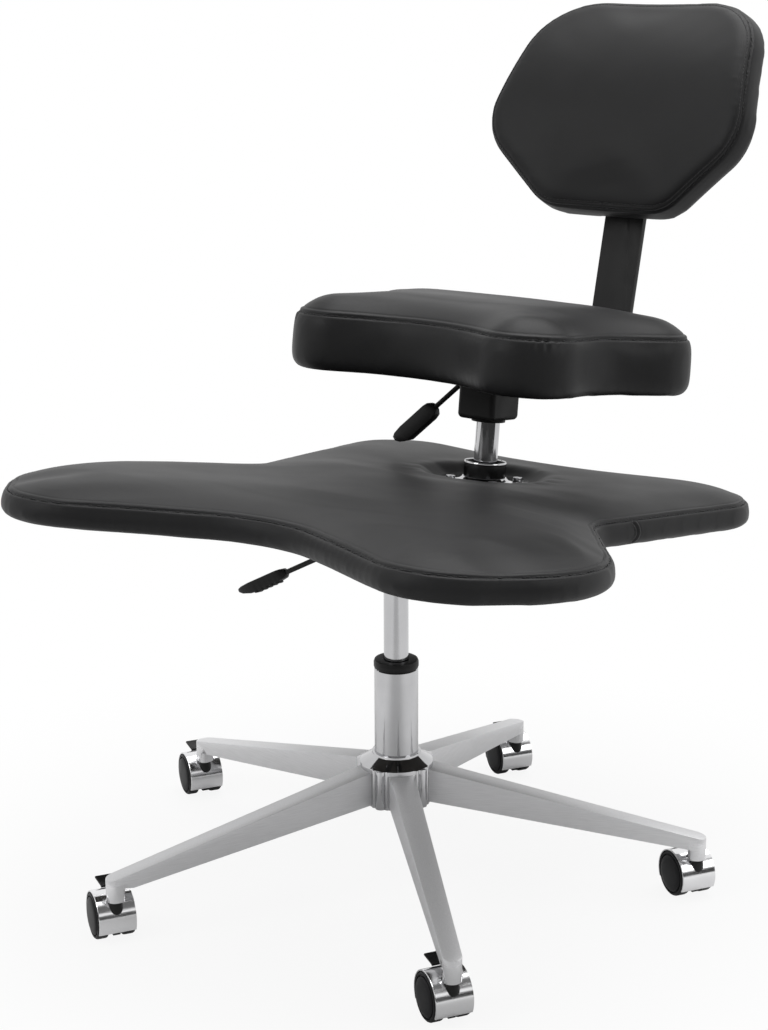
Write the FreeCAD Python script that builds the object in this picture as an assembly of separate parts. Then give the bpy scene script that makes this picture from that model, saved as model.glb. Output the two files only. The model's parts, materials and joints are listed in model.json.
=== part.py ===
"""Office chair for sitting cross-legged.

A wide padded platform for the legs turns and lifts on a five-legged base. A smaller seat with its own
column and backrest turns and lifts on the platform. Millimetres, floor at z = 0, sitter facing -Y.
"""
import math
import os

import FreeCAD
import Part

V = FreeCAD.Vector
X_AXIS = V(1, 0, 0)
Y_AXIS = V(0, 1, 0)
Z_AXIS = V(0, 0, 1)

# Stance
SEAM_HEIGHT = 462.5        # floor to the platform's seam, on the lower column's axis
TILT = 7.0                 # lean of everything above the lower column, degrees
SEAT_BACK = 190.0          # upper column's axis behind the lower one, along the platform
SEAT_TURN = -4.5           # the seat stands a little turned on its column, degrees

# Outlines: half of each, from the front or bottom centre round one side, as (x, forward, corner radius)
PLATFORM_OUTLINE = [(0, 222, 140), (255, 366, 88), (390, 195, 145), (234, -36, 56), (308, -444, 99),
                    (0, -357, 340)]
SEAT_OUTLINE = [(0, 108, 150), (136, 194.5, 53), (195, 140.5, 59), (178.5, 44, 138), (264, -84.5, 58),
                (0, -152, 400)]
BACKREST_OUTLINE = [(91, 3, 62), (193, -86, 71), (150.5, -278, 96)]

# Cushions: heights from the seam, and how far the sides tuck in
PLATFORM_BAND = 31.0
PLATFORM_CROWN = 12.0
PLATFORM_CROWN_RUN = 55.0
PLATFORM_BULGE = 1.0
SEAT_SEAM = 190.0          # seat seam above the platform's seam
SEAT_BAND = 65.5
SEAT_CROWN = 22.0
SEAT_CROWN_RUN = 44.0
SEAT_BULGE = 1.5
PLATFORM_TUCK = 10.0       # bottom edge drawn in under the cushion
SEAT_TUCK = 7.0
PLATFORM_EDGE = 4          # how closely a side keeps straight before it draws in, as a power
SEAT_EDGE = 6
SEAM_DRAW = 4.0            # seam drawn in
SIDE_STEPS = 8
CROWN_STEPS = 5
BOARD = 12.0               # plywood under each cushion
BOARD_INSET = 24.0
BOARD_GAP = 0.3            # round the edge of a board let into foam

# Columns
TUBE_RADIUS = 25.0
TUBE_WALL = 1.5
CYLINDER_RADIUS = 14.0
CYLINDER_WALL = 2.0
CYLINDER_END = 12.0        # thickness of the end wall that guides the rod
TAPER_RADIUS = 13.0        # top of the cylinder's taper
ROD_RADIUS = 5.0
ROD_CLIP_RADIUS = 8.0      # clip under the foot
ROD_COLLAR_RADIUS = 12.0   # shoulder on the bearing
FOOT = 3.0                 # closed end of each tube
PISTON = 10.0
PISTON_GAP = 1.0           # piston to end wall at full height
BALL_RADIUS = 1.5
BALLS = 8
BALL_CIRCLE = 9.5
WASHER = 1.5
WASHER_BORE = 5.8
WASHER_RADIUS = 13.0
PIN_RADIUS = 3.5
PIN_DEPTH = 14.0           # pin inside the cylinder
PIN_STANDOUT = 5.0
PIN_STROKE_ROOM = 6.0      # empty bore under the pin
RUNNING_FIT = 0.05         # radial, every sliding or turning fit
END_PLAY = 0.05            # axial, turning faces

LOWER_FOOT = 96.0
LOWER_TOP = 272.5          # top of the bush, world height
LOWER_COLLAR = 10.0        # black ring that the lower bush stands out of its tube
LOWER_GUIDE = 75.0         # bush inside the tube
LOWER_CYLINDER = 200.0     # lower end of the sliding cylinder
LOWER_RISE = 15.0          # travel left upwards
UPPER_FOOT = -112.0
UPPER_TOP = 24.0
UPPER_COLLAR = 0.0         # the upper bush stays inside its tube
BUSH_RECESS = 1.0
UPPER_GUIDE = 50.0
UPPER_CYLINDER = -75.0
UPPER_RISE = 45.0

# Base
LEGS = 5
LEG_HEADING = -29.1        # first leg, degrees from straight ahead towards the sitter's left
STEM_CIRCLE = 345.0
HUB_RADIUS = 42.0
HUB_BOTTOM = 104.0
HUB_SHOULDER = 150.0
HUB_COLLAR = 162.0
COLLAR_RADIUS = 28.0
COLLAR_HEIGHT = 2.5
RIB_RADIUS = 6.5
RIB_CIRCLE = 39.5
SMALL_RIB_RADIUS = 3.0
SMALL_RIB_CIRCLE = 40.5
SMALL_RIB_ANGLE = 11.5
LEG_HALF_ROOT = 14.25
POST_RADIUS = 10.0         # also half the leg's width at its tip
LEG_TOP_ROOT = 144.5
LEG_TOP_TIP = 78.0
LEG_UNDER_ROOT = 105.0
LEG_UNDER_TIP = 62.0
LEG_WALL = 4.0
POST_BOTTOM = 50.0
STEM_RADIUS = 5.5
STEM_TOP = 70.0
STEM_ROOM = 1.0            # bore left empty over the stem

# Casters: x leads, the axle trails behind the stem
CASTER_HEADING = -33.3     # degrees from +X, the way every caster points
TRAIL = 20.0
WHEEL_RADIUS = 26.0
WHEEL_INNER = 9.0          # inner face from the middle
WHEEL_EDGE = 20.5
WHEEL_OUTER = 24.0
WHEEL_DISH = 19.0          # radius where the outer face goes flat
AXLE_RADIUS = 3.0
WEB_HALF = 4.0
BOSS_RADIUS = 7.5
BOSS_BOTTOM = 33.0
BOSS_ROUND = 5.0
HOOD_HALF = 15.0
HOOD_RADIUS = 28.2
HOOD_WALL = 1.5
HOOD_BOTTOM = 6.5
HOOD_NOTCH = 9.0           # clearance cut round the boss
POST_NOTCH = 11.5          # clearance cut round the leg's post
CASTER_GAP = 0.5
PEDAL_ANGLE = 122.0        # place of the pedal's pivot round the hood, degrees from +x
PEDAL_PIN = 1.5
PEDAL_HUB = 2.6
PEDAL_LENGTH = 13.0
PEDAL_RISE = 28.0          # slope of the pedal, degrees
PEDAL_THICK = 3.0
PEDAL_ROOT_HALF = 6.5
PEDAL_TIP_HALF = 10.0
LUG_INNER = 7.0
LUG_OUTER = 10.0

# Mechanisms under the platform and the seat
PLATE = 3.0
HOUSING_WALL = 3.0
HOUSING_HALF = 26.0
HOUSING_ROUND = 6.0
PLATFORM_PLATE = (80.0, -80.0, 100.0)     # half width, front, back
PLATFORM_HOUSING = (-28.0, 40.0)          # front, back
PLATFORM_DEPTH = 64.0
SEAT_PLATE = (66.0, -66.0, 66.0)
SEAT_HOUSING = (-30.0, 26.0)
SEAT_DEPTH = 50.0
SOCKET_DROP = 3.0          # taper socket below its housing
BOSS_WALL = 6.0
BOLT_RADIUS = 3.0
BOLT_HEAD = 5.5
BOLT_HEAD_HEIGHT = 4.0
BOLT_GAP = 0.2
BOLT_EDGE = 12.0           # bolts in from the plate's edges
BOLT_BITE = 9.0            # bolt length in the board

# Levers: a cranked rod on a cross pin, with a flat tongue over the valve pin
LEVER_ROD = 3.0
LEVER_BEND = 8.0           # middle radius of the crank
TONGUE = 4.0
TONGUE_LENGTH = 20.0
TONGUE_FAR = 12.0          # tongue past the valve pin
TONGUE_NEAR = 4.0          # tongue past the rod's middle
PIVOT_X = -19.5
PIVOT_RADIUS = 3.0
PIVOT_HALF = 14.0
LUG_HALF_GAP = 9.0
LUG_HALF = 4.5             # lug along the lever
LUG = 4.0
SLOT_HALF = 6.5
PIN_GAP = 1.0              # rest gap between tongue and valve pin
GRIP_LENGTH = 74.0
ROD_IN_GRIP = 52.0
GRIP_HALF = 11.0
GRIP_THICK = 11.0
GRIP_ROUND = 4.0
PLATFORM_LEVER_LEVEL = -50.0
PLATFORM_LEVER_Y = 1.0
PLATFORM_LEVER_DROOP = 28.5
PLATFORM_LEVER_REACH = 198.0   # along the drooping part, crank to tip
SEAT_LEVER_LEVEL = 114.0
SEAT_LEVER_Y = -9.0
SEAT_LEVER_DROOP = 42.0
SEAT_LEVER_REACH = 124.0
CRANK_X = -34.0

# Flange that holds the upper column on the platform
FLANGE_RADIUS = 54.0
FLANGE_BOTTOM = -2.5
FLANGE = 4.0
FLANGE_BOLT_CIRCLE = 41.0
FLANGE_BOLTS = 4
DIP_RADIUS = 56.0
DIP_TOP_RADIUS = 78.0
COLUMN_GAP = 0.5

# Backrest: frame at the bottom of the front seam, behind and above the upper column
BACKREST_BACK = 197.0
BACKREST_UP = 329.0
BACKREST_RECLINE = 16.6
LUMBAR = 110.0             # height of the most forward line of the pad
LUMBAR_RADIUS = 370.0      # curve up the pad
WRAP_RADIUS = 1250.0       # curve across the pad
BACKREST_THICK = 34.0
BACKREST_CROWN = 9.0       # front panel proud of its seam
BACKREST_ROUND = 20.0      # front edge, rolled over the seam
BACKREST_REAR_ROUND = 8.0
BACKREST_BOARD = 8.0
BACKREST_BOARD_INSET = 10.0
SHELL_GAP = 0.3
BAR_HALF = 28.0
BAR = 8.0
BAR_BEND = 30.0
BAR_START = 72.0
BAR_FOOT = 251.0           # upright's front face, behind the column, at BAR_FOOT_UP
BAR_FOOT_UP = 197.0
BAR_RECLINE = 7.0
BAR_TOP = 440.0
BAR_BOLTS = (88.0, 110.0)
BLOCK_HALF = 36.0
BLOCK_BOTTOM = 348.0
BLOCK_TOP = 448.0
BLOCK_REACH = 60.0         # forward of the bar, before the board's curve is cut
BLOCK_BOLTS = (368.0, 420.0)

SWEEP = 12.0               # half angle of the turned slabs that shape the backrest, degrees
ROOM = 200.0               # size of cutting tools that only need to be large
OVERCUT = 1.0              # cutting tools run past the face they leave by


def box(x0, x1, y0, y1, z0, z1):
    return Part.makeBox(x1 - x0, y1 - y0, z1 - z0, V(x0, y0, z0))


def disc(radius, z0, z1, x=0.0, y=0.0):
    return Part.makeCylinder(radius, z1 - z0, V(x, y, z0))


def ring(outer, inner, z0, z1):
    return disc(outer, z0, z1).cut(disc(inner, z0, z1))


def cross_disc(radius, y0, y1, x, z):
    """A cylinder along Y."""
    return Part.makeCylinder(radius, y1 - y0, V(x, y0, z), Y_AXIS)


def turned(shape, angle, axis=Z_AXIS, centre=V(0, 0, 0)):
    copy = shape.copy()
    copy.rotate(centre, axis, angle)
    return copy


def moved(shape, x=0.0, y=0.0, z=0.0):
    copy = shape.copy()
    copy.translate(V(x, y, z))
    return copy


def on_platform(shape):
    """From the platform's own frame, with z = 0 at its seam, into the world."""
    return moved(turned(shape, -TILT, X_AXIS), z=SEAM_HEIGHT)


def on_seat(shape):
    """From the upper column's frame, turned with the seat, into the world."""
    return on_platform(moved(turned(shape, SEAT_TURN), y=SEAT_BACK))


def on_column(shape):
    """From the upper column's frame into the world."""
    return on_platform(moved(shape, y=SEAT_BACK))


def bundle(shapes):
    return Part.makeCompound(shapes)


def joined(first, *others):
    return first.fuse(list(others)).removeSplitter()


def full_outline(half):
    """Both sides of a half outline, counter-clockwise from above, with forward along -Y."""
    right = [(x, -forward, radius) for x, forward, radius in half]
    left = [(-x, y, radius) for x, y, radius in reversed(right) if x > 0]
    return right + left


def corner_turn(before, corner, after):
    """Cross product of the edges at a corner: positive where the outline is convex."""
    into = (corner[0] - before[0], corner[1] - before[1])
    out = (after[0] - corner[0], after[1] - corner[1])
    return into[0] * out[1] - into[1] * out[0]


def inset_outline(outline, inset):
    """Every edge moved inwards, arcs keeping their centres."""
    count = len(outline)
    result = []
    for i in range(count):
        before, corner, after = outline[i - 1], outline[i], outline[(i + 1) % count]
        into = V(corner[0] - before[0], corner[1] - before[1], 0).normalize()
        out = V(after[0] - corner[0], after[1] - corner[1], 0).normalize()
        bisector = Z_AXIS.cross(into) + Z_AXIS.cross(out)
        shift = bisector * (2 * inset / bisector.dot(bisector))
        sign = 1 if corner_turn(before, corner, after) > 0 else -1
        radius = corner[2] - sign * inset if corner[2] else 0
        result.append((corner[0] + shift.x, corner[1] + shift.y, radius))
    return result


def rounded_wire(outline, place):
    """Lines and arcs round an outline of (a, b, radius); place maps (a, b) to a point."""
    count = len(outline)
    starts, middles, ends = [], [], []
    for i in range(count):
        corner = V(outline[i][0], outline[i][1], 0)
        before = V(outline[i - 1][0], outline[i - 1][1], 0)
        after = V(outline[(i + 1) % count][0], outline[(i + 1) % count][1], 0)
        to_before = (before - corner).normalize()
        to_after = (after - corner).normalize()
        radius = outline[i][2]
        half = to_before.getAngle(to_after) / 2
        tangent = radius / math.tan(half)
        middle = (to_before + to_after).normalize() * (radius / math.sin(half) - radius)
        starts.append(corner + to_before * tangent)
        middles.append(corner + middle)
        ends.append(corner + to_after * tangent)
    edges = []
    for i in range(count):
        if outline[i][2]:
            points = [place(p.x, p.y) for p in (starts[i], middles[i], ends[i])]
            edges.append(Part.Arc(*points).toShape())
        following = (i + 1) % count
        edges.append(Part.makeLine(place(ends[i].x, ends[i].y),
                                   place(starts[following].x, starts[following].y)))
    return Part.Wire(edges)


def level_wire(outline, z):
    return rounded_wire(outline, lambda a, b: V(a, b, z))


def level_slab(outline, z0, z1):
    return Part.Face(level_wire(outline, z0)).extrude(V(0, 0, z1 - z0))


def side_slab(outline, x0, x1):
    """A profile of (y, z, radius) given a width along X."""
    wire = rounded_wire(outline, lambda a, b: V(x0, a, b))
    return Part.Face(wire).extrude(V(x1 - x0, 0, 0))


def sharp(*points):
    return [(a, b, 0) for a, b in points]


def bolt(x, y, under_head, tip):
    """A bolt along Z with its head on the far side of under_head from the tip."""
    head_side = 1 if under_head > tip else -1
    head_end = under_head + head_side * BOLT_HEAD_HEIGHT
    head = disc(BOLT_HEAD, min(under_head, head_end), max(under_head, head_end), x, y)
    shank = disc(BOLT_RADIUS, min(under_head, tip), max(under_head, tip), x, y)
    return joined(head, shank)


def bolt_hole(x, y, z0, z1):
    return disc(BOLT_RADIUS + BOLT_GAP, z0, z1, x, y)


class Column:
    """A gas spring in its tube: the rod turns in the foot, the cylinder slides in the bush."""

    def __init__(self, foot, top, collar, guide, cylinder_end, rise, taper_bottom, taper_top):
        self.foot = foot
        self.collar = collar
        self.tube_top = top - collar
        self.top = top
        self.guide_bottom = self.tube_top - guide
        self.cylinder_end = cylinder_end
        self.taper_bottom = taper_bottom
        self.taper_top = taper_top
        self.washers = foot + FOOT
        self.shoulder = self.washers + 2 * WASHER + 2 * BALL_RADIUS + END_PLAY
        self.piston = cylinder_end + CYLINDER_END + rise + PISTON_GAP

    def tube(self):
        shell = ring(TUBE_RADIUS, TUBE_RADIUS - TUBE_WALL, self.foot, self.tube_top)
        floor = ring(TUBE_RADIUS - TUBE_WALL, ROD_RADIUS + RUNNING_FIT, self.foot, self.foot + FOOT)
        return joined(shell, floor)

    def bush(self):
        bore = CYLINDER_RADIUS + RUNNING_FIT
        outer = TUBE_RADIUS - TUBE_WALL
        if not self.collar:
            return ring(outer, bore, self.guide_bottom, self.tube_top - BUSH_RECESS)
        guide = ring(outer, bore, self.guide_bottom, self.tube_top)
        return joined(guide, ring(TUBE_RADIUS, bore, self.tube_top, self.top))

    def bearing(self):
        lower = ring(WASHER_RADIUS, WASHER_BORE, self.washers, self.washers + WASHER)
        balls_z = self.washers + WASHER + BALL_RADIUS
        upper_z = balls_z + BALL_RADIUS
        upper = ring(WASHER_RADIUS, WASHER_BORE, upper_z, upper_z + WASHER)
        balls = []
        for i in range(BALLS):
            ball = Part.makeSphere(BALL_RADIUS, V(BALL_CIRCLE, 0, balls_z))
            balls.append(turned(ball, 360 * i / BALLS))
        return bundle([lower, upper] + balls)

    def rod(self):
        clip = disc(ROD_CLIP_RADIUS, self.foot - FOOT - END_PLAY, self.foot - END_PLAY)
        shaft = disc(ROD_RADIUS, self.foot - FOOT, self.piston + PISTON)
        collar = disc(ROD_COLLAR_RADIUS, self.shoulder, self.shoulder + FOOT)
        piston = disc(CYLINDER_RADIUS - CYLINDER_WALL - RUNNING_FIT, self.piston, self.piston + PISTON)
        return joined(shaft, clip, collar, piston)

    def cylinder(self):
        barrel = disc(CYLINDER_RADIUS, self.cylinder_end, self.taper_bottom)
        taper = Part.makeCone(CYLINDER_RADIUS, TAPER_RADIUS, self.taper_top - self.taper_bottom,
                              V(0, 0, self.taper_bottom))
        inside_top = self.taper_top - PIN_DEPTH - PIN_STROKE_ROOM - FOOT
        inside = disc(CYLINDER_RADIUS - CYLINDER_WALL, self.cylinder_end + CYLINDER_END, inside_top)
        rod_bore = disc(ROD_RADIUS + RUNNING_FIT, self.cylinder_end, self.cylinder_end + CYLINDER_END)
        pin_bore = disc(PIN_RADIUS + RUNNING_FIT, inside_top + FOOT, self.taper_top)
        return joined(barrel, taper).cut([inside, rod_bore, pin_bore])

    def pin(self):
        return disc(PIN_RADIUS, self.taper_top - PIN_DEPTH, self.taper_top + PIN_STANDOUT)

    def taper_tool(self):
        """The space that the cylinder's taper fills in a mechanism's socket."""
        below = disc(CYLINDER_RADIUS, self.taper_bottom - ROOM, self.taper_bottom)
        taper = Part.makeCone(CYLINDER_RADIUS, TAPER_RADIUS, self.taper_top - self.taper_bottom,
                              V(0, 0, self.taper_bottom))
        above = disc(TAPER_RADIUS, self.taper_top, self.taper_top + ROOM)
        return joined(below, taper, above)


def lower_column():
    """The lower axis is upright; the platform's planes cross it at a lean."""
    lean = math.cos(math.radians(TILT))
    tongue_under = SEAM_HEIGHT + (PLATFORM_LEVER_LEVEL - TONGUE / 2) / lean
    taper_top = tongue_under - PIN_GAP - PIN_STANDOUT
    taper_bottom = SEAM_HEIGHT - (PLATFORM_BAND + PLATFORM_DEPTH) / lean
    return Column(LOWER_FOOT, LOWER_TOP, LOWER_COLLAR, LOWER_GUIDE, LOWER_CYLINDER, LOWER_RISE,
                  taper_bottom, taper_top)


def upper_column():
    taper_top = SEAT_LEVER_LEVEL - TONGUE / 2 - PIN_GAP - PIN_STANDOUT
    taper_bottom = SEAT_SEAM - SEAT_BAND - SEAT_DEPTH
    return Column(UPPER_FOOT, UPPER_TOP, UPPER_COLLAR, UPPER_GUIDE, UPPER_CYLINDER, UPPER_RISE,
                  taper_bottom, taper_top)


def leg_top(radius):
    share = (radius - HUB_RADIUS) / (STEM_CIRCLE - HUB_RADIUS)
    return LEG_TOP_ROOT + share * (LEG_TOP_TIP - LEG_TOP_ROOT)


def leg_under(radius):
    share = (radius - HUB_RADIUS) / (STEM_CIRCLE - HUB_RADIUS)
    return LEG_UNDER_ROOT + share * (LEG_UNDER_TIP - LEG_UNDER_ROOT)


def leg_profile(inner, outer, lower):
    """Side view of a leg between two radii, its top lowered by a wall."""
    return side_slab(sharp((-inner, leg_under(inner) - lower), (-outer, leg_under(outer) - lower),
                           (-outer, leg_top(outer) - lower), (-inner, leg_top(inner) - lower)),
                     -ROOM, ROOM)


def leg_plan(inner, outer, inset):
    share = (inner - HUB_RADIUS) / (STEM_CIRCLE - HUB_RADIUS)
    half_inner = LEG_HALF_ROOT + share * (POST_RADIUS - LEG_HALF_ROOT) - inset
    share = (outer - HUB_RADIUS) / (STEM_CIRCLE - HUB_RADIUS)
    half_outer = LEG_HALF_ROOT + share * (POST_RADIUS - LEG_HALF_ROOT) - inset
    return level_slab(sharp((-half_outer, -outer), (half_outer, -outer),
                            (half_inner, -inner), (-half_inner, -inner)), 0, ROOM)


def base_leg():
    """One leg pointing along -Y, with the post for its caster."""
    inner = HUB_RADIUS - POST_RADIUS
    outer = STEM_CIRCLE + 2 * POST_RADIUS
    tip = disc(POST_RADIUS, 0, ROOM, y=-STEM_CIRCLE)
    body = joined(leg_plan(inner, STEM_CIRCLE, 0), tip).common(leg_profile(inner, outer, 0))
    post = disc(POST_RADIUS, POST_BOTTOM, LEG_UNDER_TIP + POST_RADIUS, y=-STEM_CIRCLE)
    channel_end = STEM_CIRCLE - 2 * POST_RADIUS
    channel = leg_plan(HUB_RADIUS + POST_RADIUS, channel_end, LEG_WALL)
    channel = channel.common(leg_profile(HUB_RADIUS, channel_end + POST_RADIUS, LEG_WALL))
    stem_bore = disc(STEM_RADIUS + RUNNING_FIT, POST_BOTTOM, STEM_TOP + STEM_ROOM, y=-STEM_CIRCLE)
    hub = disc(HUB_RADIUS, 0, ROOM)
    return joined(body, post).cut([channel, stem_bore, hub])


def base_hub():
    core = disc(HUB_RADIUS, HUB_BOTTOM, HUB_SHOULDER)
    collar_bottom = HUB_COLLAR - COLLAR_HEIGHT
    slope = Part.makeCone(HUB_RADIUS, COLLAR_RADIUS, collar_bottom - HUB_SHOULDER, V(0, 0, HUB_SHOULDER))
    collar = disc(COLLAR_RADIUS, collar_bottom, HUB_COLLAR)
    ribs = []
    for i in range(LEGS):
        heading = LEG_HEADING + 360 * (i + 0.5) / LEGS
        rib = disc(RIB_RADIUS, HUB_BOTTOM, HUB_SHOULDER, y=-RIB_CIRCLE)
        small = disc(SMALL_RIB_RADIUS, HUB_BOTTOM, HUB_SHOULDER, y=-SMALL_RIB_CIRCLE)
        ribs.append(turned(rib, heading))
        ribs.append(turned(small, heading - SMALL_RIB_ANGLE))
        ribs.append(turned(small, heading + SMALL_RIB_ANGLE))
    return joined(core, slope, collar, *ribs).cut(disc(TUBE_RADIUS, 0, HUB_COLLAR + ROOM))


def base_parts(column):
    parts = {"base_hub": base_hub()}
    leg = base_leg()
    for i in range(LEGS):
        parts[f"base_leg_{i + 1}"] = turned(leg, LEG_HEADING + 360 * i / LEGS)
    parts["lower_tube"] = column.tube()
    parts["lower_bush"] = column.bush()
    parts["lower_bearing"] = column.bearing()
    return parts


def caster_body():
    """Black web and boss, with the steel stem and axle."""
    web_radius = HOOD_RADIUS - HOOD_WALL
    web = cross_disc(web_radius, -WEB_HALF, WEB_HALF, -TRAIL, WHEEL_RADIUS)
    web = web.cut(box(-ROOM, ROOM, -ROOM, ROOM, -ROOM, HOOD_BOTTOM + HOOD_WALL))
    boss_top = POST_BOTTOM - CASTER_GAP
    web = web.cut(disc(POST_NOTCH, boss_top, ROOM))
    boss = disc(BOSS_RADIUS, BOSS_BOTTOM, boss_top)
    boss = boss.makeFillet(BOSS_ROUND, [e for e in boss.Edges if e.BoundBox.ZMax < BOSS_BOTTOM + BOSS_ROUND])
    stem = disc(STEM_RADIUS, BOSS_BOTTOM + BOSS_ROUND, STEM_TOP)
    axle = cross_disc(AXLE_RADIUS, -WHEEL_EDGE, WHEEL_EDGE, -TRAIL, WHEEL_RADIUS)
    body = joined(web, boss).cut([stem, axle])
    return bundle([body, stem, axle])


def caster_hood():
    outer = cross_disc(HOOD_RADIUS, -HOOD_HALF, HOOD_HALF, -TRAIL, WHEEL_RADIUS)
    inner = cross_disc(HOOD_RADIUS - HOOD_WALL, -HOOD_HALF, HOOD_HALF, -TRAIL, WHEEL_RADIUS)
    pivot_x, pivot_z = pedal_pivot()
    lugs = []
    for y0, y1 in ((-LUG_OUTER, -LUG_INNER), (LUG_INNER, LUG_OUTER)):
        cheek = cross_disc(PEDAL_HUB, y0, y1, pivot_x, pivot_z)
        foot = box(-PEDAL_HUB, PEDAL_HUB, y0, y1, -2 * PEDAL_HUB, 0)
        foot = turned(foot, 90 - PEDAL_ANGLE, Y_AXIS)
        lugs += [cheek, moved(foot, pivot_x, 0, pivot_z)]
    hood = joined(outer, *lugs).cut([
        inner,
        box(-ROOM, ROOM, -ROOM, ROOM, -ROOM, HOOD_BOTTOM),
        disc(HOOD_NOTCH, BOSS_BOTTOM - CASTER_GAP, ROOM),
        disc(POST_NOTCH, POST_BOTTOM - CASTER_GAP, ROOM),
        cross_disc(PEDAL_PIN + RUNNING_FIT, -HOOD_HALF, HOOD_HALF, pivot_x, pivot_z),
    ])
    return max(hood.Solids, key=lambda solid: solid.Volume)


def pedal_pivot():
    reach = HOOD_RADIUS + PEDAL_HUB + CASTER_GAP
    angle = math.radians(PEDAL_ANGLE)
    return -TRAIL + reach * math.cos(angle), WHEEL_RADIUS + reach * math.sin(angle)


def caster_pedal():
    """A flared tab on a cross pin; it leans back and up from the pivot."""
    pivot_x, pivot_z = pedal_pivot()
    side = CASTER_GAP
    hub = cross_disc(PEDAL_HUB - side, -LUG_INNER + side, LUG_INNER - side, 0, 0)
    tab = level_slab(sharp((-PEDAL_LENGTH, -PEDAL_TIP_HALF), (0, -PEDAL_ROOT_HALF),
                           (0, PEDAL_ROOT_HALF), (-PEDAL_LENGTH, PEDAL_TIP_HALF)),
                     -PEDAL_THICK / 2, PEDAL_THICK / 2)
    tab = tab.cut([box(-LUG_OUTER / 2, ROOM, LUG_INNER - side, ROOM, -ROOM, ROOM),
                   box(-LUG_OUTER / 2, ROOM, -ROOM, -LUG_INNER + side, -ROOM, ROOM)])
    pin = cross_disc(PEDAL_PIN, -LUG_OUTER - side, LUG_OUTER + side, 0, 0)
    pedal = turned(joined(hub, tab, pin), PEDAL_RISE, Y_AXIS)
    return moved(pedal, pivot_x, 0, pivot_z)


def caster_wheel(side):
    """A tyre with a dished outer face, turned about the axle."""
    bore = AXLE_RADIUS + RUNNING_FIT
    bore_end = WHEEL_EDGE + RUNNING_FIT
    profile = Part.makePolygon([V(bore, WHEEL_INNER, 0), V(WHEEL_RADIUS, WHEEL_INNER, 0),
                                V(WHEEL_RADIUS, WHEEL_EDGE, 0), V(WHEEL_DISH, WHEEL_OUTER, 0),
                                V(0, WHEEL_OUTER, 0), V(0, bore_end, 0),
                                V(bore, bore_end, 0), V(bore, WHEEL_INNER, 0)])
    wheel = Part.Face(profile).revolve(V(0, 0, 0), Y_AXIS, 360)
    if side < 0:
        wheel = turned(wheel, 180)
    return moved(wheel, -TRAIL, 0, WHEEL_RADIUS)


def caster_parts():
    makers = {"body": caster_body(), "hood": caster_hood(), "wheel_left": caster_wheel(1),
              "wheel_right": caster_wheel(-1), "pedal": caster_pedal()}
    parts = {}
    for i in range(LEGS):
        heading = math.radians(LEG_HEADING + 360 * i / LEGS)
        x = STEM_CIRCLE * math.sin(heading)
        y = -STEM_CIRCLE * math.cos(heading)
        for piece, shape in makers.items():
            parts[f"caster_{piece}_{i + 1}"] = moved(turned(shape, CASTER_HEADING), x, y)
    return parts


def pad_sections(bottom, seam, crown, crown_run, bulge, tuck, edge):
    """(height, inset) up the side of a cushion and over its crown."""
    sections = []
    for step in range(SIDE_STEPS + 1):
        share = step / SIDE_STEPS
        pinch = tuck if share < 0.5 else SEAM_DRAW
        off_middle = abs(2 * share - 1)
        inset = pinch * off_middle ** edge - bulge * (1 - off_middle ** 2)
        sections.append((bottom + share * (seam - bottom), inset))
    for step in range(1, CROWN_STEPS + 1):
        share = step / CROWN_STEPS
        sections.append((seam + crown * (1 - (1 - share) ** 2), SEAM_DRAW + crown_run * share))
    return sections


def cushion(outline, sections):
    wires = [level_wire(inset_outline(outline, inset), z) for z, inset in sections]
    return Part.makeLoft(wires, True, True)


def board_slab(outline, z0, gap):
    return level_slab(inset_outline(outline, BOARD_INSET - gap), z0, z0 + BOARD)


def plate_bolts(plate):
    half, front, back = plate
    columns = (-half + BOLT_EDGE, half - BOLT_EDGE)
    rows = (front + BOLT_EDGE, back - BOLT_EDGE)
    return [(x, y) for x in columns for y in rows]


def flange_bolt_places():
    places = []
    for i in range(FLANGE_BOLTS):
        angle = math.radians(360 * (i + 0.5) / FLANGE_BOLTS)
        places.append((FLANGE_BOLT_CIRCLE * math.cos(angle), FLANGE_BOLT_CIRCLE * math.sin(angle)))
    return places


def housing(plate, front, back, top, depth, lever_level, lever_y):
    """Folded steel box under a bolt plate, with lugs and a slot for the lever."""
    half, plate_front, plate_back = plate
    plate_bottom = top - PLATE
    bottom = top - depth
    top_plate = box(-half, half, plate_front, plate_back, plate_bottom, top)
    shell = box(-HOUSING_HALF, HOUSING_HALF, front, back, bottom, plate_bottom)
    below = [e for e in shell.Edges if e.BoundBox.ZMin < plate_bottom - PLATE]
    shell = shell.makeFillet(HOUSING_ROUND, below)
    wall = HOUSING_WALL
    inside = HOUSING_HALF - wall
    hollow = box(-inside, inside, front + wall, back - wall, bottom + wall, plate_bottom)
    lugs = []
    for y in (lever_y - LUG_HALF_GAP - LUG, lever_y + LUG_HALF_GAP):
        lugs.append(box(PIVOT_X - LUG_HALF, PIVOT_X + LUG_HALF, y, y + LUG,
                        lever_level - LUG_HALF, plate_bottom))
    body = joined(top_plate, shell.cut(hollow), *lugs)
    slot = box(-HOUSING_HALF - OVERCUT, -inside + OVERCUT, lever_y - SLOT_HALF, lever_y + SLOT_HALF,
               lever_level - 2 * SLOT_HALF, lever_level + SLOT_HALF)
    pivot_half = PIVOT_HALF + OVERCUT
    pivot = cross_disc(PIVOT_RADIUS + RUNNING_FIT, lever_y - pivot_half, lever_y + pivot_half,
                       PIVOT_X, lever_level)
    holes = [bolt_hole(x, y, plate_bottom - OVERCUT, top + OVERCUT) for x, y in plate_bolts(plate)]
    return body.cut([slot, pivot] + holes)


def socket(column):
    """Wall round the taper, before the taper itself is cut."""
    return disc(CYLINDER_RADIUS + BOSS_WALL, column.taper_bottom - SOCKET_DROP, column.taper_top)


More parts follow.
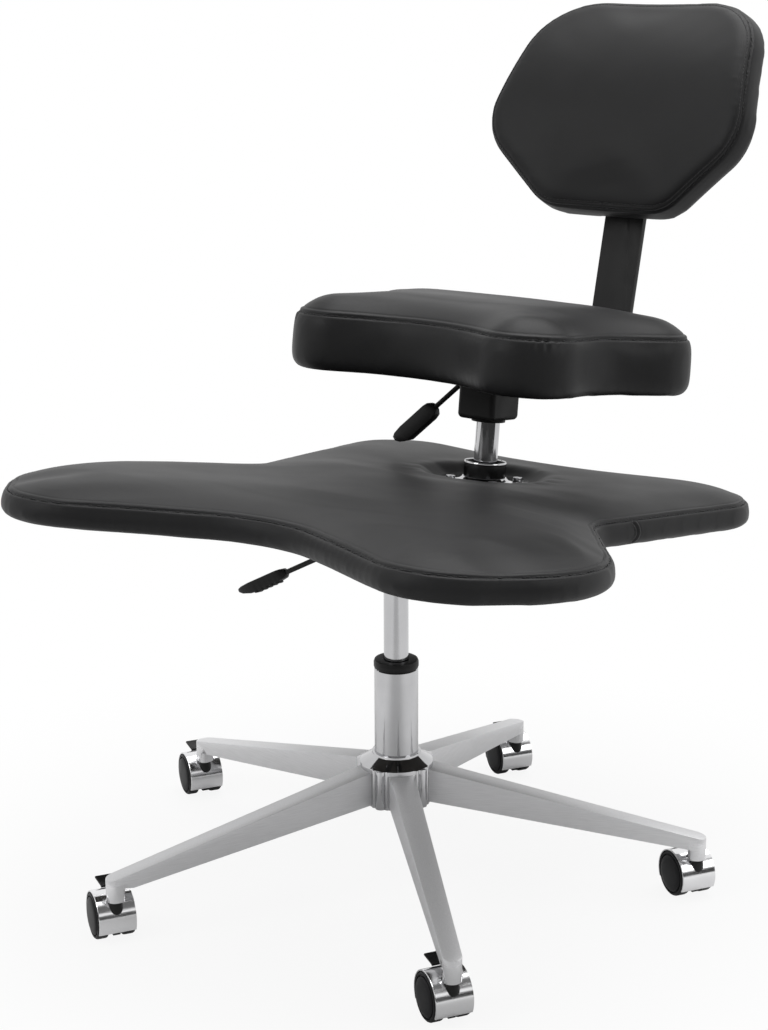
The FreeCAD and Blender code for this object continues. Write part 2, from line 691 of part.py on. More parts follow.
def lever(level, y, droop, reach):
    """Cranked rod with a tongue and a cross pin, and the moulded grip on its end."""
    angle = math.radians(droop)
    tangent = LEVER_BEND * math.tan(angle / 2)
    bend_start = V(CRANK_X + tangent, y, level)
    bend_middle = V(CRANK_X + tangent - LEVER_BEND * math.sin(angle / 2), y,
                    level - LEVER_BEND * (1 - math.cos(angle / 2)))
    bend_end = V(CRANK_X - tangent * math.cos(angle), y, level - tangent * math.sin(angle))
    tip = V(CRANK_X - reach * math.cos(angle), y, level - reach * math.sin(angle))
    along = (tip - bend_end).normalize()
    rod_end = tip - along * (GRIP_LENGTH - ROD_IN_GRIP)
    inner = V(-TONGUE_LENGTH / 2, y, level)
    crank = Part.Arc(bend_start, bend_middle, bend_end).toShape()
    path = Part.Wire([Part.makeLine(inner, bend_start), crank, Part.makeLine(bend_end, rod_end)])
    section = Part.Wire(Part.makeCircle(LEVER_ROD, inner, X_AXIS))
    rod = path.makePipeShell([section], True, False)
    tongue = box(-TONGUE_LENGTH / 2 - TONGUE_NEAR, TONGUE_LENGTH / 2, min(y, 0) - TONGUE_NEAR,
                 max(y, 0) + TONGUE_FAR, level - TONGUE / 2, level + TONGUE / 2)
    pin = cross_disc(PIVOT_RADIUS, y - PIVOT_HALF, y + PIVOT_HALF, PIVOT_X, level)
    block = box(0, GRIP_LENGTH, -GRIP_HALF, GRIP_HALF, -GRIP_THICK / 2, GRIP_THICK / 2)
    block = block.makeFillet(GRIP_ROUND, block.Edges)
    grip = moved(turned(block, -droop, Y_AXIS), tip.x, y, tip.z)
    rod = joined(rod, tongue, pin)
    return bundle([rod, grip.cut(rod)])


def platform_parts(column, mate):
    outline = full_outline(PLATFORM_OUTLINE)
    bottom = -PLATFORM_BAND
    board_top = bottom + BOARD
    bolts = plate_bolts(PLATFORM_PLATE)
    flange_bolts = [(x, y + SEAT_BACK) for x, y in flange_bolt_places()]
    flange_top = FLANGE_BOTTOM + FLANGE

    board = board_slab(outline, bottom, 0)
    board = board.cut([bolt_hole(x, y, bottom, bottom + BOLT_BITE) for x, y in bolts])
    board = board.cut([bolt_hole(x, y, bottom, board_top) for x, y in flange_bolts])
    board = board.cut(disc(TUBE_RADIUS, bottom, board_top, y=SEAT_BACK))

    pad = cushion(outline, pad_sections(bottom, 0, PLATFORM_CROWN, PLATFORM_CROWN_RUN, PLATFORM_BULGE,
                                        PLATFORM_TUCK, PLATFORM_EDGE))
    dip_depth = PLATFORM_CROWN - FLANGE_BOTTOM
    dip = Part.makeCone(DIP_RADIUS, DIP_TOP_RADIUS, dip_depth, V(0, SEAT_BACK, FLANGE_BOTTOM))
    pad = pad.cut([board_slab(outline, bottom, BOARD_GAP), dip,
                   disc(TUBE_RADIUS + COLUMN_GAP, bottom, PLATFORM_CROWN, y=SEAT_BACK)])
    pad = pad.cut([bolt_hole(x, y, bottom, PLATFORM_CROWN) for x, y in flange_bolts])

    flange = disc(FLANGE_RADIUS, FLANGE_BOTTOM, flange_top, y=SEAT_BACK)
    flange = flange.cut([disc(TUBE_RADIUS, FLANGE_BOTTOM, flange_top, y=SEAT_BACK)]
                        + [bolt_hole(x, y, FLANGE_BOTTOM, flange_top) for x, y in flange_bolts])

    front, back = PLATFORM_HOUSING
    steel = on_platform(housing(PLATFORM_PLATE, front, back, bottom, PLATFORM_DEPTH,
                                PLATFORM_LEVER_LEVEL, PLATFORM_LEVER_Y))
    steel = joined(steel, socket(column)).cut(column.taper_tool().common(below_plate()))

    plate_under = bottom - PLATE
    screws = [bolt(x, y, plate_under, bottom + BOLT_BITE) for x, y in bolts]
    flange_screws = [bolt(x, y, flange_top, bottom) for x, y in flange_bolts]
    return {
        "lower_cylinder": column.cylinder(),
        "platform_mechanism": steel,
        "platform_board": on_platform(board),
        "platform_pad": on_platform(pad),
        "platform_bolts": on_platform(bundle(screws)),
        "column_flange": on_platform(flange),
        "flange_bolts": on_platform(bundle(flange_screws)),
        "upper_tube": on_column(mate.tube()),
        "upper_bush": on_column(mate.bush()),
        "upper_bearing": on_column(mate.bearing()),
    }


def below_plate():
    """Everything under the platform's bolt plate."""
    return on_platform(box(-ROOM, ROOM, -ROOM, ROOM, -2 * ROOM, -PLATFORM_BAND - PLATE))


def seat_parts(column):
    outline = full_outline(SEAT_OUTLINE)
    bottom = SEAT_SEAM - SEAT_BAND
    bolts = plate_bolts(SEAT_PLATE)
    bar_bolts = [(0.0, y) for y in BAR_BOLTS]
    plate_under = bottom - PLATE

    board = board_slab(outline, bottom, 0)
    board = board.cut([bolt_hole(x, y, bottom, bottom + BOLT_BITE) for x, y in bolts + bar_bolts])
    pad = cushion(outline, pad_sections(bottom, SEAT_SEAM, SEAT_CROWN, SEAT_CROWN_RUN, SEAT_BULGE,
                                        SEAT_TUCK, SEAT_EDGE))
    pad = pad.cut(board_slab(outline, bottom, BOARD_GAP))

    front, back = SEAT_HOUSING
    steel = housing(SEAT_PLATE, front, back, bottom, SEAT_DEPTH, SEAT_LEVER_LEVEL, SEAT_LEVER_Y)
    room = box(-ROOM, ROOM, -ROOM, ROOM, -2 * ROOM, plate_under)
    steel = joined(steel, socket(column)).cut(column.taper_tool().common(room))

    screws = [bolt(x, y, plate_under, bottom + BOLT_BITE) for x, y in bolts]
    screws += [bolt(x, y, bottom - BAR, bottom + BOLT_BITE) for x, y in bar_bolts]
    parts = {
        "upper_cylinder": column.cylinder(),
        "seat_mechanism": steel,
        "seat_board": board,
        "seat_pad": pad,
        "seat_bolts": bundle(screws),
    }
    parts.update(backrest_parts(bottom, bar_bolts))
    return {name: on_seat(shape) for name, shape in parts.items()}


def on_backrest(shape):
    """From the backrest's frame (x, back, up) into the upper column's frame."""
    return moved(turned(shape, -BACKREST_RECLINE, X_AXIS), y=BACKREST_BACK, z=BACKREST_UP)


def saddle_slab(front, back):
    """A slab between two depths, curved up the back and across it."""
    low = -ROOM / 4
    high = 2 * LUMBAR + ROOM / 2
    edges = []
    ends = []
    for depth in (front, back):
        radius = LUMBAR_RADIUS - depth
        points = []
        for height in (low, LUMBAR, high):
            drop = radius - math.sqrt(radius ** 2 - (height - LUMBAR) ** 2)
            points.append(V(0, depth + drop, height))
        edges.append(Part.Arc(*points).toShape())
        ends.append((points[0], points[2]))
    edges.append(Part.makeLine(ends[0][0], ends[1][0]))
    edges.append(Part.makeLine(ends[0][1], ends[1][1]))
    face = Part.Face(Part.Wire(Part.__sortEdges__(edges)))
    axis = V(0, -WRAP_RADIUS, 0)
    face.rotate(axis, Z_AXIS, -SWEEP)
    return face.revolve(axis, Z_AXIS, 2 * SWEEP)


def backrest_prism(inset):
    outline = inset_outline(full_outline(BACKREST_OUTLINE), inset)
    wire = rounded_wire(outline, lambda a, b: V(a, -ROOM, b))
    return Part.Face(wire).extrude(V(0, 2 * ROOM, 0))


def bar_face(height):
    """Depth of the upright's front face at a height."""
    return BAR_FOOT + (height - BAR_FOOT_UP) * math.tan(math.radians(BAR_RECLINE))


def bar_bolt(height, start, end):
    """A cylinder square to the upright, between two depths from its front face."""
    recline = math.radians(BAR_RECLINE)
    square = V(0, math.cos(recline), -math.sin(recline))
    base = V(0, bar_face(height), height) + square * start
    return base, square, end - start


def upright_rod(radius, height, start, end):
    base, square, length = bar_bolt(height, start, end)
    return Part.makeCylinder(radius, length, base, square)


def backrest_parts(seat_bottom, bar_bolts):
    pad = backrest_prism(0).common(saddle_slab(-BACKREST_CROWN, BACKREST_THICK))
    front = min(pad.Faces, key=lambda face: face.CenterOfMass.y)
    pad = pad.makeFillet(BACKREST_ROUND, front.Edges)
    rear = max(pad.Faces, key=lambda face: face.CenterOfMass.y)
    pad = pad.makeFillet(BACKREST_REAR_ROUND, rear.Edges)
    board_front = BACKREST_THICK + SHELL_GAP
    board_back = board_front + BACKREST_BOARD
    board = backrest_prism(BACKREST_BOARD_INSET).common(saddle_slab(board_front, board_back))

    recline = math.radians(BAR_RECLINE)
    thick = BAR / math.cos(recline)
    under = seat_bottom - BAR
    profile = [(BAR_START, seat_bottom, 0), (BAR_START, under, 0),
               (bar_face(under) + thick, under, BAR_BEND + BAR),
               (bar_face(BAR_TOP) + thick, BAR_TOP, 0), (bar_face(BAR_TOP), BAR_TOP, 0),
               (bar_face(seat_bottom), seat_bottom, BAR_BEND)]
    bar = side_slab(profile, -BAR_HALF, BAR_HALF)
    bar = bar.cut([bolt_hole(x, y, under, seat_bottom) for x, y in bar_bolts])

    bottom_face = bar_face(BLOCK_BOTTOM)
    top_face = bar_face(BLOCK_TOP)
    block = side_slab(sharp((bottom_face - BLOCK_REACH, BLOCK_BOTTOM), (bottom_face, BLOCK_BOTTOM),
                            (top_face, BLOCK_TOP), (top_face - BLOCK_REACH, BLOCK_TOP)),
                      -BLOCK_HALF, BLOCK_HALF)
    block = block.cut(on_backrest(saddle_slab(-BLOCK_REACH, board_back + SHELL_GAP)))
    block = max(block.Solids, key=lambda solid: solid.CenterOfMass.y)

    board = on_backrest(board)
    bolts = []
    for height in BLOCK_BOLTS:
        hole = upright_rod(BOLT_RADIUS + BOLT_GAP, height, -BLOCK_REACH, BAR + OVERCUT)
        bar = bar.cut(hole)
        block = block.cut(hole)
        board = board.cut(hole)
        gap = upright_gap(board, height)
        shank = upright_rod(BOLT_RADIUS, height, -gap, BAR)
        head = upright_rod(BOLT_HEAD, height, BAR, BAR + BOLT_HEAD_HEIGHT)
        bolts.append(joined(shank, head))
    return {
        "backrest_bar": bar,
        "backrest_block": block,
        "backrest_board": board,
        "backrest_pad": on_backrest(pad),
        "backrest_bolts": bundle(bolts),
    }


def upright_gap(board, height):
    """How far a bolt runs from the upright's face to stop inside the board."""
    probe = upright_rod(BOLT_HEAD, height, -BLOCK_REACH, 0).common(board)
    base, square, _ = bar_bolt(height, 0, 0)
    return max((base - v.Point).dot(square) for v in probe.Vertexes) - BACKREST_BOARD / 2


def build():
    lower = lower_column()
    upper = upper_column()
    parts = {}
    parts.update(base_parts(lower))
    parts.update(caster_parts())
    parts["lower_rod"] = lower.rod()
    parts.update(platform_parts(lower, upper))
    platform_lever = lever(PLATFORM_LEVER_LEVEL, PLATFORM_LEVER_Y, PLATFORM_LEVER_DROOP, PLATFORM_LEVER_REACH)
    parts["platform_lever"] = on_platform(platform_lever)
    parts["lower_valve_pin"] = lower.pin()
    parts["upper_rod"] = on_column(upper.rod())
    parts.update(seat_parts(upper))
    seat_lever = lever(SEAT_LEVER_LEVEL, SEAT_LEVER_Y, SEAT_LEVER_DROOP, SEAT_LEVER_REACH)
    parts["seat_lever"] = on_seat(seat_lever)
    parts["upper_valve_pin"] = on_seat(upper.pin())
    return parts


os.makedirs("parts", exist_ok=True)
for name, shape in build().items():
    shape.exportStep(f"parts/{name}.step")
    print(name, len(shape.Solids), round(shape.Volume / 1000, 1), shape.isValid())
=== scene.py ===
"""Cross-legged office chair: the looks of its cushions, base, casters, columns and levers."""

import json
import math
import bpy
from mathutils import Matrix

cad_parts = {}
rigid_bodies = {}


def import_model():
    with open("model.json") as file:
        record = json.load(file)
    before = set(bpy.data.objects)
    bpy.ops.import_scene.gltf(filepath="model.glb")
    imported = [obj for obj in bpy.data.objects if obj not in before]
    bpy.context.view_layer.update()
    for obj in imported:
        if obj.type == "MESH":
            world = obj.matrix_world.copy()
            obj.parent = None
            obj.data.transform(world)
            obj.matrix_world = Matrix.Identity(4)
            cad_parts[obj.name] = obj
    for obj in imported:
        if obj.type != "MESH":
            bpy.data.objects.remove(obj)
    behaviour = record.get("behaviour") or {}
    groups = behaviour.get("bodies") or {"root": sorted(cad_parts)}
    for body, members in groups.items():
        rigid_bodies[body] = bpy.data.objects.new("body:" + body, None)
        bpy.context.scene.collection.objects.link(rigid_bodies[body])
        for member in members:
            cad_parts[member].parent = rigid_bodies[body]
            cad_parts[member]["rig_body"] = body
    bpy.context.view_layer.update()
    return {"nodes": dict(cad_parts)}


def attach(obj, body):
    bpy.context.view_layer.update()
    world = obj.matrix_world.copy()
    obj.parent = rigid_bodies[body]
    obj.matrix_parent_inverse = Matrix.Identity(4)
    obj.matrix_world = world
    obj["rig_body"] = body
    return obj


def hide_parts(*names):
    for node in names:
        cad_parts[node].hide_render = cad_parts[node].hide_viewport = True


bl_info = {
    "name": "Cross-legged office chair",
    "version": (1, 0, 0),
    "blender": (4, 5, 0),
    "location": "3D View > Sidebar > Chair",
    "description": "Models the chair's pieces round its packed frame",
    "category": "Object",
}

import bmesh
import bpy
import numpy as np
from bpy.props import FloatProperty, FloatVectorProperty, IntProperty, PointerProperty
from mathutils import Matrix, Vector
from mathutils.bvhtree import BVHTree
from mathutils.kdtree import KDTree

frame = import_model()
MM = 0.001

# Stance of the chair, as its solids have it
SEAM_HEIGHT = 462.5
TILT = 7.0
SEAT_BACK = 190.0
SEAT_TURN = -4.5
SEAT_SEAM = 190.0
PLATFORM_BAND = 31.0
SEAT_BAND = 65.5
LEGS = 5
LEG_HEADING = -29.1
STEM_CIRCLE = 345.0
CASTER_HEADING = -33.3
TRAIL = 20.0
WHEEL_RADIUS = 26.0
BACKREST_BACK = 197.0
BACKREST_UP = 329.0
BACKREST_RECLINE = 16.6
LUMBAR = 110.0
LUMBAR_RADIUS = 370.0
WRAP_RADIUS = 1250.0

# Corners of the cushions' seams: half of each outline as (x, y, corner radius)
PLATFORM_CORNERS = [(0, -222, 140), (255, -366, 88), (390, -195, 145), (234, 36, 56), (308, 444, 99),
                    (0, 357, 340)]
SEAT_CORNERS = [(0, -108, 150), (136, -194.5, 53), (195, -140.5, 59), (178.5, -44, 138), (264, 84.5, 58),
                (0, 152, 400)]
BACKREST_CORNERS = [(91, -3, 62), (193, 86, 71), (150.5, 278, 96)]
BAND_JOIN = 100.0         # sewn join on the platform's left band, along y
JOIN_SIDE = 250           # its place along x before it is laid on the cover
JOIN_BOW = 7
HELD_FOOT = 16            # a cover is held up to this height over its cushion's foot
HELD_DIP = 92             # and this far round the upper column
HELD_BACK = 24            # and this far behind the backrest's front

# Legs, casters and levers, in millimetres
LEG_HALF = 14.25          # half of a leg's blank; its ends are then drawn to their own widths
LEG_BLANK = (60, 150)     # bottom and top of the blank
LEG_ROOT = -36
LEG_TIP = -355
LEG_ENDS = ((LEG_TIP, 10.0, 60.6, 75.8), (LEG_ROOT, 14.3, 105.9, 145.8))    # place, half width, bottom, top
TIP_ROUNDING = 9.9
POST_BACK = -335          # where the leg turns down into its post
POST_FOOT = 50
POST_ROUNDING = 8.0
POLISH_ALONG = (-0.337, -0.334)     # soft edges of a post's polish along its leg, in metres
POLISH_BELOW = (0.069, 0.0745)      # and over the floor
HOLLOW_WALL = 4           # hollow under a leg
HOLLOW_DEPTH = 7
HOLLOW_ROOT = 24          # how much deeper it is at the hub
HOOD_RADIUS = 28.2
HOOD_FOOT = 13            # the hood ends this high over the floor
PEDAL_AT = 122            # place of the pedal round the hood, in degrees
PEDAL_OFF = 3.1           # its distance from the hood
PEDAL_SLANT = 28
GRIP_LENGTH = 74
ROD_START = 74.3          # a lever's rod is cut here, from the grip's tip
ROD_IN_GRIP = 8
PIVOT = -34               # where a lever's droop starts, along x

# Stage
SENSOR = 36.0
FLOOR_SIDE = 14
CARD_PROFILE = [(3400, 0), (3400, 3400), (1900, 3700)]


def turn(angle, axis):
    return Matrix.Rotation(math.radians(angle), 4, axis)


def shift(x, y, z):
    return Matrix.Translation((x * MM, y * MM, z * MM))


PLATFORM = shift(0, 0, SEAM_HEIGHT) @ turn(-TILT, "X")
COLUMN = PLATFORM @ shift(0, SEAT_BACK, 0)
SEAT = COLUMN @ turn(SEAT_TURN, "Z")
BACKREST = SEAT @ shift(0, BACKREST_BACK, BACKREST_UP) @ turn(-BACKREST_RECLINE, "X")


def leg_place(number):
    return turn(LEG_HEADING + 360 * number / LEGS, "Z")


def caster_place(number):
    heading = math.radians(LEG_HEADING + 360 * number / LEGS)
    return shift(STEM_CIRCLE * math.sin(heading), -STEM_CIRCLE * math.cos(heading), 0) @ turn(CASTER_HEADING, "Z")


# Working by hand: selection, edit mode, finishing

def clear():
    if bpy.context.object and bpy.context.object.mode != "OBJECT":
        bpy.ops.object.mode_set(mode="OBJECT")
    bpy.ops.object.select_all(action="DESELECT")


def take(obj):
    clear()
    obj.select_set(True)
    bpy.context.view_layer.objects.active = obj
    return obj


class editing:
    """Edit mode on one object, with nothing selected at first."""

    def __init__(self, obj, kind="FACE"):
        self.obj = obj
        self.kind = kind

    def __enter__(self):
        take(self.obj)
        bpy.ops.object.mode_set(mode="EDIT")
        bpy.ops.mesh.select_mode(type=self.kind)
        bpy.ops.mesh.select_all(action="DESELECT")

    def __exit__(self, *problem):
        bpy.ops.object.mode_set(mode="OBJECT")


def pick(obj, test, kind="FACE"):
    """Selects the faces, edges or points whose place passes a test."""
    bpy.ops.mesh.select_mode(type=kind)
    bpy.ops.mesh.select_all(action="DESELECT")
    shape = bmesh.from_edit_mesh(obj.data)
    shape.normal_update()
    found = {"FACE": shape.faces, "EDGE": shape.edges, "VERT": shape.verts}[kind]
    chosen = [item for item in found if test(item)]
    for item in chosen:
        item.select_set(True)
    shape.select_flush_mode()
    bmesh.update_edit_mesh(obj.data)
    if not chosen:
        raise RuntimeError(f"{obj.name}: nothing to select")


def everything():
    bpy.ops.mesh.select_all(action="SELECT")


def face_outward():
    everything()
    bpy.ops.mesh.normals_make_consistent(inside=False)


def push(x=0.0, y=0.0, z=0.0):
    bpy.ops.transform.translate(value=(x * MM, y * MM, z * MM))


def pull(x=0.0, y=0.0, z=0.0):
    bpy.ops.mesh.extrude_region_move(TRANSFORM_OT_translate={"value": (x * MM, y * MM, z * MM)})


def named(name):
    obj = bpy.context.object
    obj.name = obj.data.name = name
    return obj


def add_block(name, x0, x1, y0, y1, z0, z1):
    clear()
    bpy.ops.mesh.primitive_cube_add(size=1)
    obj = named(name)
    middle = shift((x0 + x1) / 2, (y0 + y1) / 2, (z0 + z1) / 2)
    obj.data.transform(middle @ Matrix.Diagonal(((x1 - x0) * MM, (y1 - y0) * MM, (z1 - z0) * MM, 1)))
    return obj


def add_rod(name, radius, length, sides=32):
    clear()
    bpy.ops.mesh.primitive_cylinder_add(vertices=sides, radius=radius * MM, depth=length * MM)
    obj = named(name)
    obj.data.transform(shift(0, 0, length / 2))
    return obj


def lathe(name, profile, steps=64, angle=360.0):
    """A profile of (radius, height) drawn point by point and spun about Z."""
    clear()
    bpy.ops.mesh.primitive_plane_add(size=MM)
    obj = named(name)
    with editing(obj, "VERT"):
        everything()
        bpy.ops.mesh.merge(type="CENTER")
        push(profile[0][0], 0, profile[0][1])
        for (r0, z0), (r1, z1) in zip(profile, profile[1:]):
            pull(r1 - r0, 0, z1 - z0)
        everything()
        bpy.ops.mesh.spin(steps=steps, angle=math.radians(angle), center=(0, 0, 0), axis=(0, 0, 1))
        everything()
        bpy.ops.mesh.remove_doubles(threshold=0.00001)
        face_outward()
    return obj


def apply_modifier(obj, kind, **settings):
    take(obj)
    bpy.ops.object.modifier_add(type=kind)
    modifier = obj.modifiers[-1]
    for key, value in settings.items():
        setattr(modifier, key, value)
    bpy.ops.object.modifier_apply(modifier=modifier.name)


def round_edges(obj, width, segments=2, angle=30.0):
    apply_modifier(obj, "BEVEL", width=width * MM, segments=segments, limit_method="ANGLE",
                   angle_limit=math.radians(angle), use_clamp_overlap=True, harden_normals=False)


def cut_away(obj, tool):
    apply_modifier(obj, "BOOLEAN", operation="DIFFERENCE", object=tool, solver="EXACT")
    bpy.data.objects.remove(tool)


def cad_copy(node, name, flat=1.0):
    """A merged copy of a CAD node's mesh, with its flat faces joined up."""
    clear()
    obj = repeat(frame["nodes"][node], name)
    obj.data.materials.clear()
    with editing(obj, "VERT"):
        everything()
        bpy.ops.mesh.remove_doubles(threshold=0.000005)
        bpy.ops.mesh.customdata_custom_splitnormals_clear()
        if flat:
            bpy.ops.mesh.dissolve_limited(angle_limit=math.radians(flat))
    return obj


def placed(obj, matrix):
    obj.data.transform(matrix)
    return obj


def repeat(obj, name, matrix=Matrix()):
    """Another of an object, with its own mesh, moved by a matrix."""
    other = bpy.data.objects.new(name, obj.data.copy())
    other.data.name = name
    bpy.context.scene.collection.objects.link(other)
    return placed(other, matrix)


def dress(obj, material, body, slot, nodes=(), smooth=35.0):
    """Gives a finished piece its material and shading, and the body that it rides on."""
    obj.data.materials.clear()
    obj.data.materials.append(finish(material))
    take(obj)
    bpy.ops.object.shade_smooth_by_angle(angle=math.radians(smooth))
    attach(obj, body)
    if nodes:
        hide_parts(*nodes)
    return obj


def from_cad(node, name, material, slot, width=0.0, segments=2, angle=40.0, flat=1.0):
    """A piece with its CAD node's shape and rounded edges, on the node's body."""
    piece = cad_copy(node, name, flat)
    if width:
        round_edges(piece, width, segments, angle)
    return dress(piece, material, frame["nodes"][node]["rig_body"], slot, [node])


# Sizes and colours

def tint(name, description, default):
    return FloatVectorProperty(name=name, description=description, subtype="COLOR", size=3, min=0, max=1,
                               default=default)


def measure(name, description, default, least=0.0, most=10.0):
    return FloatProperty(name=name, description=description, unit="LENGTH", default=default, min=least, max=most)


def amount(name, description, default, most):
    return FloatProperty(name=name, description=description, default=default, min=0, max=most)


def bearing(name, description, degrees):
    return FloatProperty(name=name, description=description, subtype="ANGLE", default=math.radians(degrees))


class CushionSettings(bpy.types.PropertyGroup):
    """Leather, seams and filling of the three cushions."""

    leather: tint("Leather", "Colour of the leather", (0.011, 0.011, 0.0115))
    thread: tint("Thread", "Colour of the stitching", (0.010, 0.010, 0.011))
    voxel: measure("Cloth grid", "Spacing of the cloth's points", 0.006, 0.004, 0.008)
    start_inset: measure("Start inset", "How much smaller the cover starts", 0.0015, 0, 0.01)
    pressure: amount("Pressure", "Pressure of the filling", 3.0, 20)
    cap: measure("Cap", "Furthest that the filling pushes the cover", 0.005, 0.001, 0.016)
    calm: IntProperty(name="Calm", description="How often the cover's swelling is evened out", default=14, min=0,
                      max=60)
    pitch: measure("Stitch pitch", "Distance from stitch to stitch", 0.0048, 0.002, 0.02)
    stitch: measure("Stitch length", "Length of one stitch", 0.0036, 0.001, 0.02)
    groove: measure("Groove", "Depth of the seam", 0.0016, 0, 0.005)
    welt: measure("Welt", "Height of the fold beside the seam", 0.0007, 0, 0.004)
    second_line: measure("Second line", "Distance of the second line of stitching", 0.0072, 0.003, 0.02)


class MetalSettings(bpy.types.PropertyGroup):
    """Finishes of the metal pieces."""

    chrome: tint("Chrome", "Colour of the plated pieces", (0.50, 0.50, 0.51))
    bright: tint("Bright chrome", "Colour of the caster hoods", (0.80, 0.80, 0.81))
    # Painted dark reflection: the upper tube's base colour is darkened to stand for dark surroundings mirrored in
    # its chrome.
    painted_reflection_tint: tint("Dark chrome", "Colour of the upper column's short tube", (0.12, 0.12, 0.123))
    satin: tint("Satin aluminium", "Colour of the brushed legs", (0.68, 0.68, 0.69))
    steel: tint("Steel", "Colour of bolts, rods and pins", (0.42, 0.42, 0.43))
    black_steel: tint("Black steel", "Colour of the painted steel", (0.012, 0.012, 0.012))
    edge: measure("Edge", "Rounding of the metal edges", 0.0008, 0.0002, 0.003)


class PlasticSettings(bpy.types.PropertyGroup):
    """Finishes of the moulded and wooden pieces."""

    plastic: tint("Plastic", "Colour of the moulded pieces", (0.010, 0.010, 0.010))
    nylon: tint("Nylon", "Colour of the wheels", (0.013, 0.013, 0.014))
    wood: tint("Plywood", "Colour of the stained boards", (0.020, 0.017, 0.014))
    ribs: IntProperty(name="Grip ribs", description="Finger ribs on a lever's grip", default=5, min=0, max=5)


class StageSettings(bpy.types.PropertyGroup):
    """Camera, floor and lights."""

    distance: measure("Distance", "Camera from the column, level", 2.2167)
    height: measure("Height", "Camera over the floor", 1.0551)
    azimuth: bearing("Azimuth", "Camera round the chair from straight ahead", 33.7)
    yaw: bearing("Yaw", "Camera turned off the column", -0.339)
    pitch: bearing("Pitch", "Camera turned down", 15.483)
    roll: bearing("Roll", "Camera leaned sideways", -0.257)
    lens: amount("Lens", "Focal length in millimetres", 72.27, 500)
    floor: tint("Floor", "Colour of the floor", (0.62, 0.62, 0.62))
    sky: amount("Sky", "Strength of the light from all round", 0.6, 3)
    card: amount("Card", "Brightness of the grey card before the chair", 0.15, 1)
    spread: measure("Floor spread", "Where the floor has faded to white", 0.8, 0.5, 5)


class ChairSettings(bpy.types.PropertyGroup):
    """All of the chair's settings."""

    cushions: PointerProperty(type=CushionSettings)
    metals: PointerProperty(type=MetalSettings)
    plastics: PointerProperty(type=PlasticSettings)
    stage: PointerProperty(type=StageSettings)


def settings():
    return bpy.context.scene.chair


# Shader groups and materials

WHITE = (1.0, 1.0, 1.0, 1.0)
BLACK = (0.0, 0.0, 0.0, 1.0)
SOCKETS = {type(None): "NodeSocketVector", float: "NodeSocketFloat", tuple: "NodeSocketColor"}

# Each finish: group and name of its colour, tone spread, mottle scale, roughness, grain (scale, strength, depth),
# specular level, metallic
PLATING = (900.0, 0.02, 0.00005)
FINISHES = {
    "black_leather_hide": ("cushions", "leather", 0.18, 9.0, (0.44, 0.52), (750.0, 0.16, 0.00025), 0.20, 0.0),
    "stitch_thread": ("cushions", "thread", 0.3, 900.0, (0.55, 0.7), (2500.0, 0.4, 0.0001), 0.5, 0.0),
    "polished_chrome": ("metals", "chrome", 0.05, 30.0, (0.06, 0.11), PLATING, 0.5, 1.0),
    "bright_chrome": ("metals", "bright", 0.05, 30.0, (0.13, 0.19), PLATING, 0.5, 1.0),
    # Painted dark reflection: chrome whose base colour is darkened for the dark surroundings it would mirror.
    "dark_chrome": ("metals", "painted_reflection_tint", 0.08, 30.0, (0.16, 0.24), PLATING, 0.5, 1.0),
    "bare_steel": ("metals", "steel", 0.12, 60.0, (0.24, 0.36), (900.0, 0.06, 0.00005), 0.5, 1.0),
    "moulded_black_plastic": ("plastics", "plastic", 0.2, 40.0, (0.38, 0.5), (1400.0, 0.12, 0.0001), 0.22, 0.0),
    "wheel_nylon_black": ("plastics", "nylon", 0.2, 40.0, (0.34, 0.46), (1800.0, 0.08, 0.0001), 0.12, 0.0),
    "powder_black_steel": ("metals", "black_steel", 0.2, 40.0, (0.42, 0.54), (1100.0, 0.14, 0.0001), 0.22, 0.0),
}


def plug(tree, node, inputs):
    """Links or sets a node's inputs."""
    for key, value in inputs.items():
        if isinstance(value, bpy.types.NodeSocket):
            tree.links.new(value, node.inputs[key])
        else:
            node.inputs[key].default_value = value


def add_node(tree, kind, inputs=None, **values):
    node = tree.nodes.new("ShaderNode" + kind)
    for key, value in values.items():
        setattr(node, key, value)
    plug(tree, node, inputs or {})
    return node


def maths(tree, operation, first, second=0.0):
    return add_node(tree, "Math", {0: first, 1: second}, operation=operation).outputs[0]


def ramp(tree, value, start, end, low, high, **kind):
    """A value from start to end spread over low to high."""
    inputs = {"Value": value, "From Min": start, "From Max": end, "To Min": low, "To Max": high}
    return add_node(tree, "MapRange", inputs, **kind).outputs["Result"]


def mix_colours(tree, share, dark, light):
    return add_node(tree, "Mix", {0: share, 6: dark, 7: light}, data_type="RGBA").outputs[2]


def noise(tree, vector, scale, detail):
    return add_node(tree, "TexNoise", {"Vector": vector, "Scale": scale, "Detail": detail}).outputs["Fac"]


def bump(tree, strength, distance, height):
    inputs = {"Strength": strength, "Distance": distance, "Height": height}
    return add_node(tree, "Bump", inputs).outputs["Normal"]


def mottle_group(group, start):
    """Slow drift of a colour between a darker and a lighter tone, and a mask for its gloss."""
    spread = ramp(group, noise(group, start["Vector"], start["Scale"], 4.0), 0.3, 0.7, 0.0, 1.0)
    return {"Colour": mix_colours(group, spread, start["Dark"], start["Light"]), "Mask": spread}


def grain_group(group, start):
    """Small raised cells with fine pores, as a normal."""
    cells = add_node(group, "TexVoronoi", {"Vector": start["Vector"], "Scale": start["Scale"], "Randomness": 1.0},
                     feature="SMOOTH_F1")
    pores = noise(group, start["Vector"], start["Scale"], 3.0)
    height = maths(group, "ADD", cells.outputs["Distance"], pores)
    return {"Normal": bump(group, start["Strength"], start["Depth"], height)}


